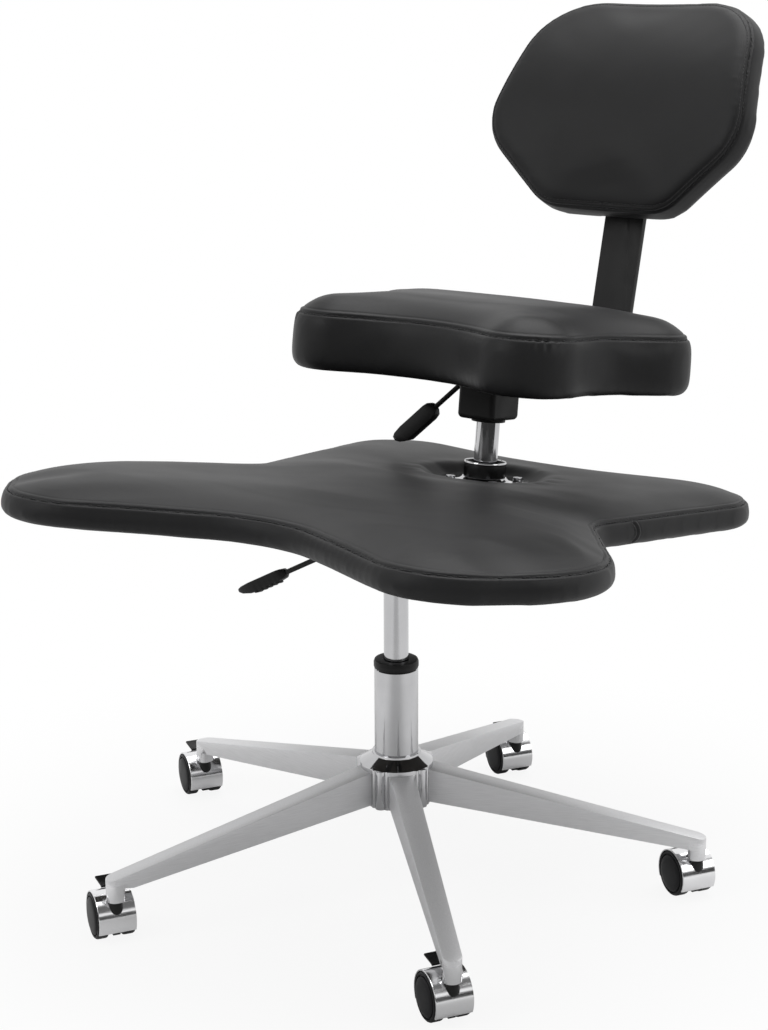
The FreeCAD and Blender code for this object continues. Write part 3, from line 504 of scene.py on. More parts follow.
def brush_group(group, start):
    """Fine lines along X of the vector, as a mask and a normal."""
    squeeze = add_node(group, "CombineXYZ", {"X": start["Length"], "Y": 1.0, "Z": 1.0}).outputs["Vector"]
    drawn = add_node(group, "VectorMath", {0: start["Vector"], 1: squeeze}, operation="MULTIPLY")
    lines = noise(group, drawn.outputs["Vector"], start["Fineness"], 2.0)
    return {"Mask": lines, "Normal": bump(group, start["Strength"], 0.0001, lines)}


# Each shader group: its builder, its inputs (a default tells the kind, one without is a vector) and its outputs
SHARED = {
    "Mottle": (mottle_group, {"Vector": None, "Scale": 12.0, "Dark": BLACK, "Light": WHITE},
               {"Colour": "NodeSocketColor", "Mask": "NodeSocketFloat"}),
    "Grain": (grain_group, {"Vector": None, "Scale": 600.0, "Strength": 0.2, "Depth": 0.0002},
              {"Normal": "NodeSocketVector"}),
    "Brush lines": (brush_group, {"Vector": None, "Fineness": 2600.0, "Length": 0.02, "Strength": 0.06},
                    {"Mask": "NodeSocketFloat", "Normal": "NodeSocketVector"}),
}


def shared_group(name):
    """The shader group of that name, built when it is first asked for."""
    group = bpy.data.node_groups.get(name)
    if group:
        return group
    group = bpy.data.node_groups.new(name, "ShaderNodeTree")
    build, inputs, outputs = SHARED[name]
    for label, value in inputs.items():
        socket = group.interface.new_socket(label, in_out="INPUT", socket_type=SOCKETS[type(value)])
        if value is not None:
            socket.default_value = value
    for label, kind in outputs.items():
        group.interface.new_socket(label, in_out="OUTPUT", socket_type=kind)
    made = build(group, group.nodes.new("NodeGroupInput").outputs)
    plug(group, group.nodes.new("NodeGroupOutput"), made)
    return group


def use_group(tree, name, inputs):
    return add_node(tree, "Group", inputs, node_tree=shared_group(name)).outputs


def new_material(name):
    material = bpy.data.materials.new(name)
    material.use_nodes = True
    tree = material.node_tree
    place = add_node(tree, "TexCoord").outputs["Object"]
    return material, tree, tree.nodes["Principled BSDF"], place


def tones(colour, spread):
    dark = [channel * (1 - spread) for channel in colour] + [1]
    light = [min(1, channel * (1 + spread)) for channel in colour] + [1]
    return dark, light


def mottled(tree, shader, place, colour, spread, scale):
    """Gives a shader its drifting base colour, and returns the drift's mask."""
    dark, light = tones(colour, spread)
    mottle = use_group(tree, "Mottle", {"Vector": place, "Scale": scale, "Dark": dark, "Light": light})
    plug(tree, shader, {"Base Color": mottle["Colour"]})
    return mottle["Mask"]


def plain_finish(material, tree, shader, place):
    """One row of FINISHES: drifting tone and gloss with a fine grain."""
    family, tone, spread, drift, rough, (scale, strength, depth), specular, metallic = FINISHES[material.name]
    mask = mottled(tree, shader, place, getattr(getattr(settings(), family), tone), spread, drift)
    grain = use_group(tree, "Grain", {"Vector": place, "Scale": scale, "Strength": strength, "Depth": depth})
    plug(tree, shader, {"Roughness": ramp(tree, mask, 0.0, 1.0, *rough), "Normal": grain["Normal"],
                        "Specular IOR Level": specular, "Metallic": metallic})


def brushed(tree, shader, along, colour, spread, fineness, length, strength):
    """Gives a shader fine lines along X of a vector, and returns the lines' mask."""
    lines = use_group(tree, "Brush lines", {"Vector": along, "Fineness": fineness, "Length": length,
                                            "Strength": strength})
    plug(tree, shader, {"Base Color": mix_colours(tree, lines["Mask"], *tones(colour, spread)),
                        "Normal": lines["Normal"]})
    return lines["Mask"]


def satin_finish(material, tree, shader, place):
    """Brushed legs with polished posts: both follow each leg by the piece's own attribute."""
    along = add_node(tree, "Attribute", attribute_name="brush").outputs["Vector"]
    mask = brushed(tree, shader, along, settings().metals.satin, 0.16, 2200.0, 0.02, 0.05)
    reach = add_node(tree, "SeparateXYZ", {0: along}).outputs
    end = ramp(tree, reach["X"], *POLISH_ALONG, 1.0, 0.0)
    below = ramp(tree, reach["Z"], *POLISH_BELOW, 1.0, 0.0)
    post = maths(tree, "MULTIPLY", end, below)
    gloss = add_node(tree, "Mix", {0: post, 2: ramp(tree, mask, 0.0, 1.0, 0.40, 0.54), 3: 0.2})
    plug(tree, shader, {"Metallic": ramp(tree, post, 0.0, 1.0, 0.5, 0.85), "Roughness": gloss.outputs[0]})


def plywood_finish(material, tree, shader, place):
    mask = brushed(tree, shader, place, settings().plastics.wood, 0.28, 240.0, 0.06, 0.2)
    plug(tree, shader, {"Roughness": ramp(tree, mask, 0.0, 1.0, 0.55, 0.75)})


SPECIAL_FINISHES = {"satin_aluminium_brushed": satin_finish, "plywood_board": plywood_finish}


def finish(name):
    """The material of that name, made when it is first asked for."""
    found = bpy.data.materials.get(name)
    if found:
        return found
    made = new_material(name)
    SPECIAL_FINISHES.get(name, plain_finish)(*made)
    return made[0]


def finish_node(node, material):
    """A CAD node whose shape is right gets its own material."""
    obj = frame["nodes"][node]
    obj.data.materials.clear()
    obj.data.materials.append(finish(material))


# Seams

def both_sides(half):
    return half + [(-x, y, radius) for x, y, radius in reversed(half) if x > 0]


def rounded_outline(corners, inset, step=1.0):
    """Points a step apart round the outline, moved in by an inset, in millimetres."""
    arcs = []
    for i, (x, y, radius) in enumerate(corners):
        corner = Vector((x, y))
        into = (corner - Vector(corners[i - 1][:2])).normalized()
        out = (Vector(corners[(i + 1) % len(corners)][:2]) - corner).normalized()
        bend = math.atan2(into.x * out.y - into.y * out.x, into.dot(out))
        sign = 1 if bend > 0 else -1
        begin = corner - into * (radius * math.tan(abs(bend) / 2))
        first = Vector((into.y, -into.x)) * (sign * radius)
        centre = begin - first
        number = max(2, int(radius * abs(bend) / step))
        arc = []
        for k in range(number + 1):
            angle = bend * k / number
            spoke = Vector((first.x * math.cos(angle) - first.y * math.sin(angle),
                            first.x * math.sin(angle) + first.y * math.cos(angle)))
            arc.append(centre + spoke * (1 - sign * inset / radius))
        arcs.append(arc)
    points = []
    for arc, following in zip(arcs, arcs[1:] + arcs[:1]):
        end, stop = arc[-1], following[0]
        number = int((stop - end).length / step)
        points += arc + [end.lerp(stop, k / number) for k in range(1, number)]
    return points


def saddle(x, height, depth):
    """How far back the backrest's curved front lies."""
    radius = LUMBAR_RADIUS - depth
    drop = radius - math.sqrt(max(0.0, radius ** 2 - (height - LUMBAR) ** 2))
    spoke = WRAP_RADIUS + depth + drop
    return math.sqrt(max(0.0, spoke ** 2 - x ** 2)) - WRAP_RADIUS


def even_points(points, pitch):
    """Points a pitch apart along a closed path, each with the path's direction."""
    closed = points + [points[0]]
    lengths = [0.0]
    for a, b in zip(closed, closed[1:]):
        lengths.append(lengths[-1] + (b - a).length)
    count = max(3, round(lengths[-1] / pitch))
    result = []
    index = 0
    for k in range(count):
        at = lengths[-1] * k / count
        while lengths[index + 1] < at:
            index += 1
        a, b = closed[index], closed[index + 1]
        share = (at - lengths[index]) / max(1e-9, lengths[index + 1] - lengths[index])
        result.append((a.lerp(b, share), (b - a).normalized()))
    return result


def one_stitch(name, length):
    """A short thread: a thin rod with rounded, dipping ends."""
    obj = add_rod(name, THREAD_RADIUS, length / MM, sides=6)
    with editing(obj):
        for end in (0.0, length):
            pick(obj, lambda face: abs(face.normal.z) > 0.9 and abs(face.calc_center_median().z - end) < 1e-6)
            bpy.ops.mesh.inset(thickness=0.0002)
            push(0, 0, -0.25 if end == 0 else 0.25)
    obj.data.transform(Matrix.Translation((0, 0, -length / 2)))
    return obj


def stitch_line(name, path, cover, body):
    """A line of stitches along a path, laid on a cover; each copies the first."""
    choice = settings().cushions
    thread = one_stitch(name, choice.stitch)
    tree = BVHTree.FromObject(cover, bpy.context.evaluated_depsgraph_get())
    source = np.array([v.co for v in thread.data.vertices])
    faces = [list(p.vertices) for p in thread.data.polygons]
    verts = []
    polygons = []
    for point, along in even_points(path, choice.pitch):
        spot, normal, _, _ = tree.find_nearest(point)
        across = normal.cross(along).normalized()
        ahead = across.cross(normal).normalized()
        basis = np.array([across, normal, ahead])
        start = len(verts)
        verts += list(source @ basis + np.array(spot + normal * STITCH_LIFT))
        polygons += [[start + i for i in face] for face in faces]
    mesh = bpy.data.meshes.new(name)
    mesh.from_pydata([tuple(v) for v in verts], [], polygons)
    old = thread.data
    thread.data = mesh
    bpy.data.meshes.remove(old)
    with editing(thread):
        face_outward()
    dress(thread, "stitch_thread", body, "black_leather", smooth=60.0)


# Cushions

CLOTH = {"quality": 3, "mass": 0.3, "tension_stiffness": 45, "compression_stiffness": 45, "shear_stiffness": 20,
         "bending_stiffness": 12}
FRAMES = 20               # length of one cushion's simulation
SEAM_NEAR = 0.013         # faces this near to a seam are made finer
SEAM_FAR = 0.02           # points farther from a seam stay where they are
STITCH_LIFT = 0.0001
THREAD_RADIUS = 0.5       # in millimetres


def swell(obj, held):
    """Blows the cover up a little with the held points kept, and caps how far a point goes."""
    choice = settings().cushions
    rest = np.array([v.co for v in obj.data.vertices])
    with editing(obj):
        everything()
        bpy.ops.transform.shrink_fatten(value=-choice.start_inset)
    for vertex, place in zip(obj.data.vertices, rest):
        if held(Vector(place)):
            vertex.co = place
    group = obj.vertex_groups.new(name="held")
    group.add([v.index for v, place in zip(obj.data.vertices, rest) if held(Vector(place))], 1.0, "REPLACE")
    take(obj)
    bpy.ops.object.modifier_add(type="CLOTH")
    cloth = obj.modifiers[-1]
    for key, value in CLOTH.items():
        setattr(cloth.settings, key, value)
    cloth.settings.use_pressure = True
    cloth.settings.uniform_pressure_force = choice.pressure
    cloth.settings.vertex_group_mass = group.name
    cloth.settings.effector_weights.gravity = 0.0
    cloth.collision_settings.use_collision = False
    cloth.point_cache.frame_start = 1
    cloth.point_cache.frame_end = FRAMES
    for number in range(1, FRAMES + 1):
        bpy.context.scene.frame_set(number)
    bpy.ops.object.modifier_apply(modifier=cloth.name)
    bpy.context.scene.frame_set(1)
    moved = np.array([v.co for v in obj.data.vertices]) - rest
    far = np.linalg.norm(moved, axis=1, keepdims=True)
    moved *= np.minimum(1.0, choice.cap / np.maximum(far, 1e-9))
    ends = np.empty(2 * len(obj.data.edges), dtype=np.int32)
    obj.data.edges.foreach_get("vertices", ends)
    first, second = ends[0::2], ends[1::2]
    number = np.bincount(ends, minlength=len(rest))[:, None]
    for _ in range(choice.calm):
        total = np.zeros_like(moved)
        np.add.at(total, first, moved[second])
        np.add.at(total, second, moved[first])
        moved = 0.5 * moved + 0.5 * total / number
    for vertex, place in zip(obj.data.vertices, rest + moved):
        vertex.co = place
    obj.vertex_groups.clear()


def sew(obj, path, on_panel, second):
    """Draws the cover in along a seam, with a welt and a second line on its panel's side."""
    choice = settings().cushions
    tree = KDTree(len(path))
    for index, point in enumerate(path):
        tree.insert(point, index)
    tree.balance()
    with editing(obj):
        pick(obj, lambda face: tree.find(face.calc_center_median())[2] < SEAM_NEAR)
        bpy.ops.mesh.subdivide(number_cuts=1)
    obj.data.update()
    normals = [v.normal.copy() for v in obj.data.vertices]
    folds = ((-choice.groove, 0.0, 0.0016), (choice.welt, 0.5 * second, 0.0021),
             (-0.6 * choice.welt, second, 0.0012), (0.4 * choice.welt, -0.004, 0.0024))
    for vertex, normal in zip(obj.data.vertices, normals):
        away = tree.find(vertex.co)[2]
        if away > SEAM_FAR:
            continue
        across = away if on_panel(vertex.co) else -away
        depth = sum(height * math.exp(-((across - centre) / width) ** 2) for height, centre, width in folds)
        vertex.co += normal * depth


def make_cushion(name, node, body, path, on_panel, held):
    """A filled leather cover over a CAD cushion, with its sewn seam."""
    choice = settings().cushions
    obj = cad_copy(node, name, flat=0)
    take(obj)
    obj.data.remesh_voxel_size = choice.voxel
    obj.data.remesh_voxel_adaptivity = 0
    bpy.ops.object.voxel_remesh()
    swell(obj, held)
    apply_modifier(obj, "SMOOTH", factor=0.5, iterations=5)
    apply_modifier(obj, "SUBSURF", levels=1, render_levels=1)
    path = lay_on(obj, path)
    sew(obj, path, on_panel, choice.second_line)
    dress(obj, "black_leather_hide", body, "black_leather", [node], smooth=60.0)
    stitch_line(name + "_stitching", path, obj, body)
    return obj


def ripple(obj, place, rise):
    """Moves a cover's points along their normals by a rule of their place in millimetres."""
    inverse = place.inverted()
    obj.data.update()
    moves = [(v, v.normal.copy(), rise(inverse @ v.co / MM, v.normal)) for v in obj.data.vertices]
    for vertex, normal, height in moves:
        if height:
            vertex.co += normal * height


def gather(obj, place, x, y, inner, outer, count, depth):
    """Small folds that run out from where the cover is drawn in, in the middle of a ring."""
    def rise(local, normal):
        share = (math.hypot(local.x - x, local.y - y) - inner) / (outer - inner)
        if not 0 < share < 1 or normal.z <= 0.3:
            return 0.0
        angle = math.atan2(local.y - y, local.x - x)
        wave = 0.5 + 0.5 * math.cos(count * angle + 1.6 * math.sin(3 * angle + 0.7))
        fall = math.sin(math.pi * share ** 0.6) * (0.6 + 0.4 * math.sin(2 * angle + 2.0))
        return -depth * wave ** 2 * fall

    ripple(obj, place, rise)


def pucker(obj, place, side, x, y, level, depth):
    """Short upright folds under the seam at a rounded corner of the outline."""
    def rise(local, normal):
        along = (side * local.x - x + local.y - y) * math.sqrt(0.5)
        across = (side * local.x - x - local.y + y) * math.sqrt(0.5)
        below = level - local.z
        if abs(along) >= 40 or abs(across) >= 30 or not 0 < below < 26:
            return 0.0
        wave = math.cos(along * 0.62 + 0.05 * along * math.sin(0.3 * along))
        return depth * wave * math.exp(-(along / 15) ** 2) * math.exp(-(below - 5) ** 2 / 60)

    ripple(obj, place, rise)


def lay_on(obj, path):
    """A path moved onto the nearest place of a cover."""
    tree = BVHTree.FromObject(obj, bpy.context.evaluated_depsgraph_get())
    return [tree.find_nearest(point)[0] for point in path]


class CHAIR_OT_platform_cushion(bpy.types.Operator):
    """Wide leg platform: leather cover, edge seam and stitching"""

    bl_idname = "chair.platform_cushion"
    bl_label = "Platform cushion"

    def execute(self, context):
        inverse = PLATFORM.inverted()
        outline = rounded_outline(both_sides(PLATFORM_CORNERS), inset=4.0)
        path = [PLATFORM @ Vector((p.x * MM, p.y * MM, 0)) for p in outline]

        def held(point):
            local = inverse @ point / MM
            near_column = math.hypot(local.x, local.y - SEAT_BACK) < HELD_DIP
            return local.z < HELD_FOOT - PLATFORM_BAND or near_column

        def on_panel(point):
            return (inverse @ point).z > 0

        cover = make_cushion("platform_cushion", "platform_pad", "platform", path, on_panel, held)
        bow = [(z, BAND_JOIN + JOIN_BOW * math.sin(z * math.pi / PLATFORM_BAND)) for z in range(2, 30)]
        join = [PLATFORM @ Vector((JOIN_SIDE * MM, y * MM, -z * MM)) for z, y in bow]
        gather(cover, PLATFORM, 0, SEAT_BACK, inner=56, outer=112, count=17, depth=0.0007)
        sew(cover, lay_on(cover, join), lambda point: (inverse @ point).y / MM > BAND_JOIN, second=0.006)
        finish_node("platform_board", "plywood_board")
        return {"FINISHED"}


class CHAIR_OT_seat_cushion(bpy.types.Operator):
    """Seat: thick leather cover with a seam round its crown"""

    bl_idname = "chair.seat_cushion"
    bl_label = "Seat cushion"

    def execute(self, context):
        inverse = SEAT.inverted()
        outline = rounded_outline(both_sides(SEAT_CORNERS), inset=4.0)
        path = [SEAT @ Vector((p.x * MM, p.y * MM, SEAT_SEAM * MM)) for p in outline]

        def held(point):
            return (inverse @ point / MM).z < SEAT_SEAM - SEAT_BAND + HELD_FOOT

        def on_panel(point):
            return (inverse @ point / MM).z > SEAT_SEAM

        cover = make_cushion("seat_cushion", "seat_pad", "seat", path, on_panel, held)
        for side in (-1, 1):
            pucker(cover, SEAT, side, x=172, y=-156, level=SEAT_SEAM, depth=0.0007)
        finish_node("seat_board", "plywood_board")
        return {"FINISHED"}


class CHAIR_OT_backrest_cushion(bpy.types.Operator):
    """Backrest: curved leather pad with two sewn lines round its edge"""

    bl_idname = "chair.backrest_cushion"
    bl_label = "Backrest cushion"

    def execute(self, context):
        inverse = BACKREST.inverted()
        outline = rounded_outline(both_sides(BACKREST_CORNERS), inset=3.3)
        path = [BACKREST @ Vector((p.x * MM, saddle(p.x, p.y, 0) * MM, p.y * MM)) for p in outline]

        def depth(point):
            local = inverse @ point / MM
            return local.y - saddle(local.x, local.z, 0)

        def held(point):
            return depth(point) > HELD_BACK

        def on_panel(point):
            return depth(point) < 0

        cover = make_cushion("backrest_cushion", "backrest_pad", "seat", path, on_panel, held)
        outline = rounded_outline(both_sides(BACKREST_CORNERS), inset=8.0)
        inner = [BACKREST @ Vector((p.x * MM, saddle(p.x, p.y, -5.0) * MM, p.y * MM)) for p in outline]
        stitch_line("backrest_second_stitching", lay_on(cover, inner), cover, "seat")
        from_cad("backrest_board", "backrest_shell", "moulded_black_plastic", "black_plastic", 1.4, 3)
        return {"FINISHED"}


class CHAIR_OT_base(bpy.types.Operator):
    """Five brushed legs, each with its caster post, round a polished ribbed hub"""

    bl_idname = "chair.base"
    bl_label = "Base"

    def execute(self, context):
        edge = settings().metals.edge / MM
        leg = add_block("base_leg_piece_1", -LEG_HALF, LEG_HALF, LEG_TIP, LEG_ROOT, *LEG_BLANK)
        with editing(leg, "VERT"):
            for y, half, *heights in LEG_ENDS:
                for x in (-1, 1):
                    for z, value in zip(LEG_BLANK, heights):
                        pick(leg, lambda v: abs(v.co.y / MM - y) < 1 and v.co.x * x > 0
                             and abs(v.co.z / MM - z) < 1, "VERT")
                        push(x * (half - LEG_HALF), 0, value - z)
            pick(leg, lambda e: all(v.co.y < (LEG_TIP + 1) * MM for v in e.verts)
                 and abs(e.verts[0].co.x - e.verts[1].co.x) < 1e-5, "EDGE")
            bpy.ops.mesh.bevel(offset=TIP_ROUNDING * MM, segments=8, affect="EDGES", clamp_overlap=True)
            everything()
            bpy.ops.mesh.bisect(plane_co=(0, POST_BACK * MM, 0), plane_no=(0, 1, 0))
            pick(leg, lambda f: f.normal.z < -0.9 and f.calc_center_median().y < POST_BACK * MM)
            bpy.ops.mesh.extrude_region()
            bpy.ops.transform.resize(value=(1, 1, 0), center_override=(0, 0, POST_FOOT * MM))
            pick(leg, lambda e: all(abs(v.co.y - POST_BACK * MM) < 1e-5 for v in e.verts)
                 and abs(e.verts[0].co.x - e.verts[1].co.x) < 1e-5
                 and min(v.co.z for v in e.verts) < (POST_FOOT + 1) * MM, "EDGE")
            bpy.ops.mesh.bevel(offset=POST_ROUNDING * MM, segments=6, affect="EDGES", clamp_overlap=True)
            pick(leg, lambda f: f.normal.z < -0.9 and f.calc_center_median().y > -0.3)
            bpy.ops.mesh.inset(thickness=HOLLOW_WALL * MM)
            push(0, 0, HOLLOW_DEPTH)
            pick(leg, lambda v: v.co.y > -0.045 and abs(v.co.x) < 0.0118 and v.co.z < 0.125, "VERT")
            push(0, 0, HOLLOW_ROOT)
        round_edges(leg, edge, 2, 40)
        brush = leg.data.attributes.new("brush", "FLOAT_VECTOR", "POINT")
        brush.data.foreach_set("vector", [c for v in leg.data.vertices for c in (v.co.y, v.co.x, v.co.z)])
        legs = [leg] + [repeat(leg, f"base_leg_piece_{i + 1}", leg_place(i)) for i in range(1, LEGS)]
        leg.data.transform(leg_place(0))
        for i, piece in enumerate(legs):
            dress(piece, "satin_aluminium_brushed", "base", "satin_aluminium", [f"base_leg_{i + 1}"])
        from_cad("base_hub", "base_hub_piece", "polished_chrome", "chrome", edge, 3, 30)
        return {"FINISHED"}


class CHAIR_OT_columns(bpy.types.Operator):
    """Chrome tubes with black bushes, bright sliding cylinders and the plated flange"""

    bl_idname = "chair.columns"
    bl_label = "Columns"

    def execute(self, context):
        black = "moulded_black_plastic", "black_plastic"
        for node, body, place, (material, slot), profile in (
                ("lower_tube", "base", Matrix(), ("polished_chrome", "chrome"),
                 [(0, 96), (25, 96), (25, 261.5), (24.2, 262.4), (14.2, 262.4)]),
                ("lower_bush", "base", Matrix(), black,
                 [(14.05, 187.5), (23, 187.5), (23, 262.5), (25, 262.8), (25.6, 264.5), (25.6, 269.5), (24.6, 272),
                  (22, 272.5), (16, 272.5), (14.05, 271), (14.05, 187.5)]),
                # The upper tube takes the chrome with a painted dark reflection, a darkened base colour.
                ("upper_tube", "platform", COLUMN, ("dark_chrome", "chrome"),
                 [(0, -112), (25, -112), (25, 22), (23.6, 22)]),
                ("upper_rim", "platform", COLUMN, ("polished_chrome", "chrome"),
                 [(23.5, 20), (24.9, 20), (25.1, 21.8), (25.1, 22.9), (24.5, 24), (23.8, 24), (23.5, 23.2),
                  (23.5, 20)]),
                ("upper_bush", "platform", COLUMN, black,
                 [(14.05, -26), (23.4, -26), (23.4, 22.6), (23, 23), (22.4, 23), (22, 22.4), (21.6, 13), (20.5, 12),
                  (15, 12), (14.05, 11), (14.05, -26)]),
                ("column_flange", "platform", COLUMN, ("polished_chrome", "chrome"),
                 [(25.05, -2.5), (54, -2.5), (54, 0.4), (53, 1.5), (33, 1.5), (28.5, 3.0), (26, 5.5), (25.05, 5.5),
                  (25.05, -2.5)])):
            piece = placed(lathe(node + "_piece", profile), place)
            dress(piece, material, body, slot, [node] if node in frame["nodes"] else ())
        for node in ("lower_cylinder", "upper_cylinder"):
            from_cad(node, node + "_piece", "polished_chrome", "chrome", flat=0)
        for node in ("lower_rod", "upper_rod", "lower_bearing", "upper_bearing", "lower_valve_pin",
                     "upper_valve_pin"):
            finish_node(node, "bare_steel")
        return {"FINISHED"}


class CHAIR_OT_casters(bpy.types.Operator):
    """Twin-wheel casters: chrome hood notched for its boss, dished wheels, rounded boss and flared pedal"""

    bl_idname = "chair.casters"
    bl_label = "Casters"

    def execute(self, context):
        axle = shift(-TRAIL, 0, WHEEL_RADIUS) @ turn(-90, "X")
        hood = lathe("caster_hood_piece_1", [(26.7, -21), (27.9, -21), (HOOD_RADIUS, -20.6), (HOOD_RADIUS, 20.6),
                                             (27.9, 21), (26.7, 21), (26.7, -21)], steps=96)
        placed(hood, axle)
        cut_away(hood, add_block("hood_cut", -80, 60, -40, 40, -20, HOOD_FOOT))
        cut_away(hood, lathe("hood_cut", [(0, 32.2), (3, 32.4), (5.6, 33.8), (7.3, 36.2), (7.9, 38.5), (7.9, 80),
                                          (0, 80)], 48))
        cut_away(hood, placed(add_rod("hood_cut", 11.5, 60, 48), shift(0, 0, 49.5)))
        wheel = lathe("caster_wheel_left_piece_1", [(0, 9), (24.6, 9), (25.7, 9.6), (26, 10.8), (26, 19.4),
                                                    (25.4, 20.8), (24.2, 21.8), (22.7, 21.8), (22.3, 20.2),
                                                    (21.3, 20.2), (20.9, 22.0), (19.6, 23.0), (15, 23.6),
                                                    (8, 24.0), (0, 24.0)])
        right = repeat(wheel, "caster_wheel_right_piece_1", turn(180, "X"))
        with editing(right):
            face_outward()
        placed(wheel, axle)
        placed(right, axle)
        pedal = add_block("caster_pedal_piece_1", -13, 0, -6.5, 6.5, -1.5, 1.5)
        with editing(pedal):
            pick(pedal, lambda f: f.normal.x < -0.9)
            bpy.ops.transform.resize(value=(1, 1.54, 1), center_override=(-0.013, 0, 0))
            pick(pedal, lambda f: f.normal.x > 0.9)
            pull(2, 0, 0)
            bpy.ops.transform.resize(value=(1, 1, 1.4), center_override=(0.002, 0, 0))
            pick(pedal, lambda f: f.normal.z > 0.9)
            bpy.ops.mesh.inset(thickness=1.4 * MM)
            push(0, 0, -0.6)
        round_edges(pedal, 0.6, 2, 30)
        reach = HOOD_RADIUS + PEDAL_OFF
        spot = math.radians(PEDAL_AT)
        stand = shift(-TRAIL + reach * math.cos(spot), 0, WHEEL_RADIUS + reach * math.sin(spot))
        placed(pedal, stand @ turn(PEDAL_SLANT, "Y"))
        for part, piece, material, slot in (("hood", hood, "bright_chrome", "chrome"),
                                            ("wheel_left", wheel, "wheel_nylon_black", "wheel_nylon"),
                                            ("wheel_right", right, "wheel_nylon_black", "wheel_nylon"),
                                            ("pedal", pedal, "moulded_black_plastic", "black_plastic")):
            copies = [repeat(piece, f"caster_{part}_piece_{i + 1}", caster_place(i)) for i in range(1, LEGS)]
            placed(piece, caster_place(0))
            for i, each in enumerate([piece] + copies):
                node = f"caster_{part}_{i + 1}"
                dress(each, material, frame["nodes"][node]["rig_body"], slot, [node])
        for i in range(LEGS):
            from_cad(f"caster_body_{i + 1}", f"caster_body_piece_{i + 1}", "moulded_black_plastic", "black_plastic",
                     0.5)
        return {"FINISHED"}


class CHAIR_OT_mechanisms(bpy.types.Operator):
    """Pressed steel boxes under the platform and the seat, the backrest bar, its block and every bolt"""

    bl_idname = "chair.mechanisms"
    bl_label = "Mechanisms and bar"

    def execute(self, context):
        for node, width in (("platform_mechanism", 0.7), ("seat_mechanism", 0.7), ("backrest_bar", 1.2),
                            ("backrest_block", 1.0)):
            from_cad(node, node + "_piece", "powder_black_steel", "black_steel", width)
        for node in ("platform_bolts", "flange_bolts", "seat_bolts", "backrest_bolts"):
            from_cad(node, node + "_piece", "bare_steel", "steel", 0.5)
        return {"FINISHED"}


class CHAIR_OT_levers(bpy.types.Operator):
    """Cranked lever rods with ribbed paddle grips"""

    bl_idname = "chair.levers"
    bl_label = "Levers"

    def grip(self, name, ribs, half):
        """An upright paddle along +X from its tip: slanted tip, finger ribs below, shoulder at the rod."""
        obj = add_block(name, 0, GRIP_LENGTH, -6.5, 6.5, -half, half)
        with editing(obj):
            for x in [6, 18, 62, 69] + [24 + 4 * k for k in range(2 * ribs)]:
                everything()
                bpy.ops.mesh.bisect(plane_co=(x * MM, 0, 0), plane_no=(1, 0, 0))
            for x, low, high, side in ((0, 0.1, 0.7, 0.6), (6, -0.45, 0.9, 0.85), (69, -0.85, 0.9, 0.95),
                                       (GRIP_LENGTH, -0.4, 0.4, 0.55)):
                for end, value in ((-1, low), (1, high)):
                    pick(obj, lambda v: abs(v.co.x / MM - x) < 0.1 and abs(v.co.z / MM - end * half) < 0.1, "VERT")
                    push(0, 0, (value - end) * half)
                pick(obj, lambda v: abs(v.co.x / MM - x) < 0.1, "VERT")
                bpy.ops.transform.resize(value=(1, side, 1), center_override=(x * MM, 0, 0))
            for k in range(ribs):
                middle = 26 + 8 * k
                pick(obj, lambda f: f.normal.z < -0.9 and abs(f.calc_center_median().x / MM - middle) < 0.5)
                pull(0, 0, -2)
        return obj

    def execute(self, context):
        ribs = settings().plastics.ribs
        for node, place, level, y, droop, reach, ridges, half in (
                ("platform_lever", PLATFORM, -50, 1, 28.5, 198, ribs, 6.5),
                ("seat_lever", SEAT, 114, -9, 42, 124, 0, 10)):
            angle = math.radians(droop)
            tip = shift(PIVOT - reach * math.cos(angle), y, level - reach * math.sin(angle)) @ turn(-droop, "Y")
            rod = placed(cad_copy(node, node + "_rod_piece"), (place @ tip).inverted())
            with editing(rod):
                everything()
                bpy.ops.mesh.bisect(plane_co=(ROD_START * MM, 0, 0), plane_no=(1, 0, 0), use_fill=True,
                                    clear_inner=True)
                pull(-ROD_IN_GRIP, 0, 0)
            placed(rod, place @ tip)
            grip = self.grip(node + "_grip_piece", ridges, half)
            round_edges(grip, 0.9, 2, 25)
            placed(grip, place @ tip)
            dress(rod, "powder_black_steel", node, "black_steel", [node])
            dress(grip, "moulded_black_plastic", node, "black_plastic")
        return {"FINISHED"}


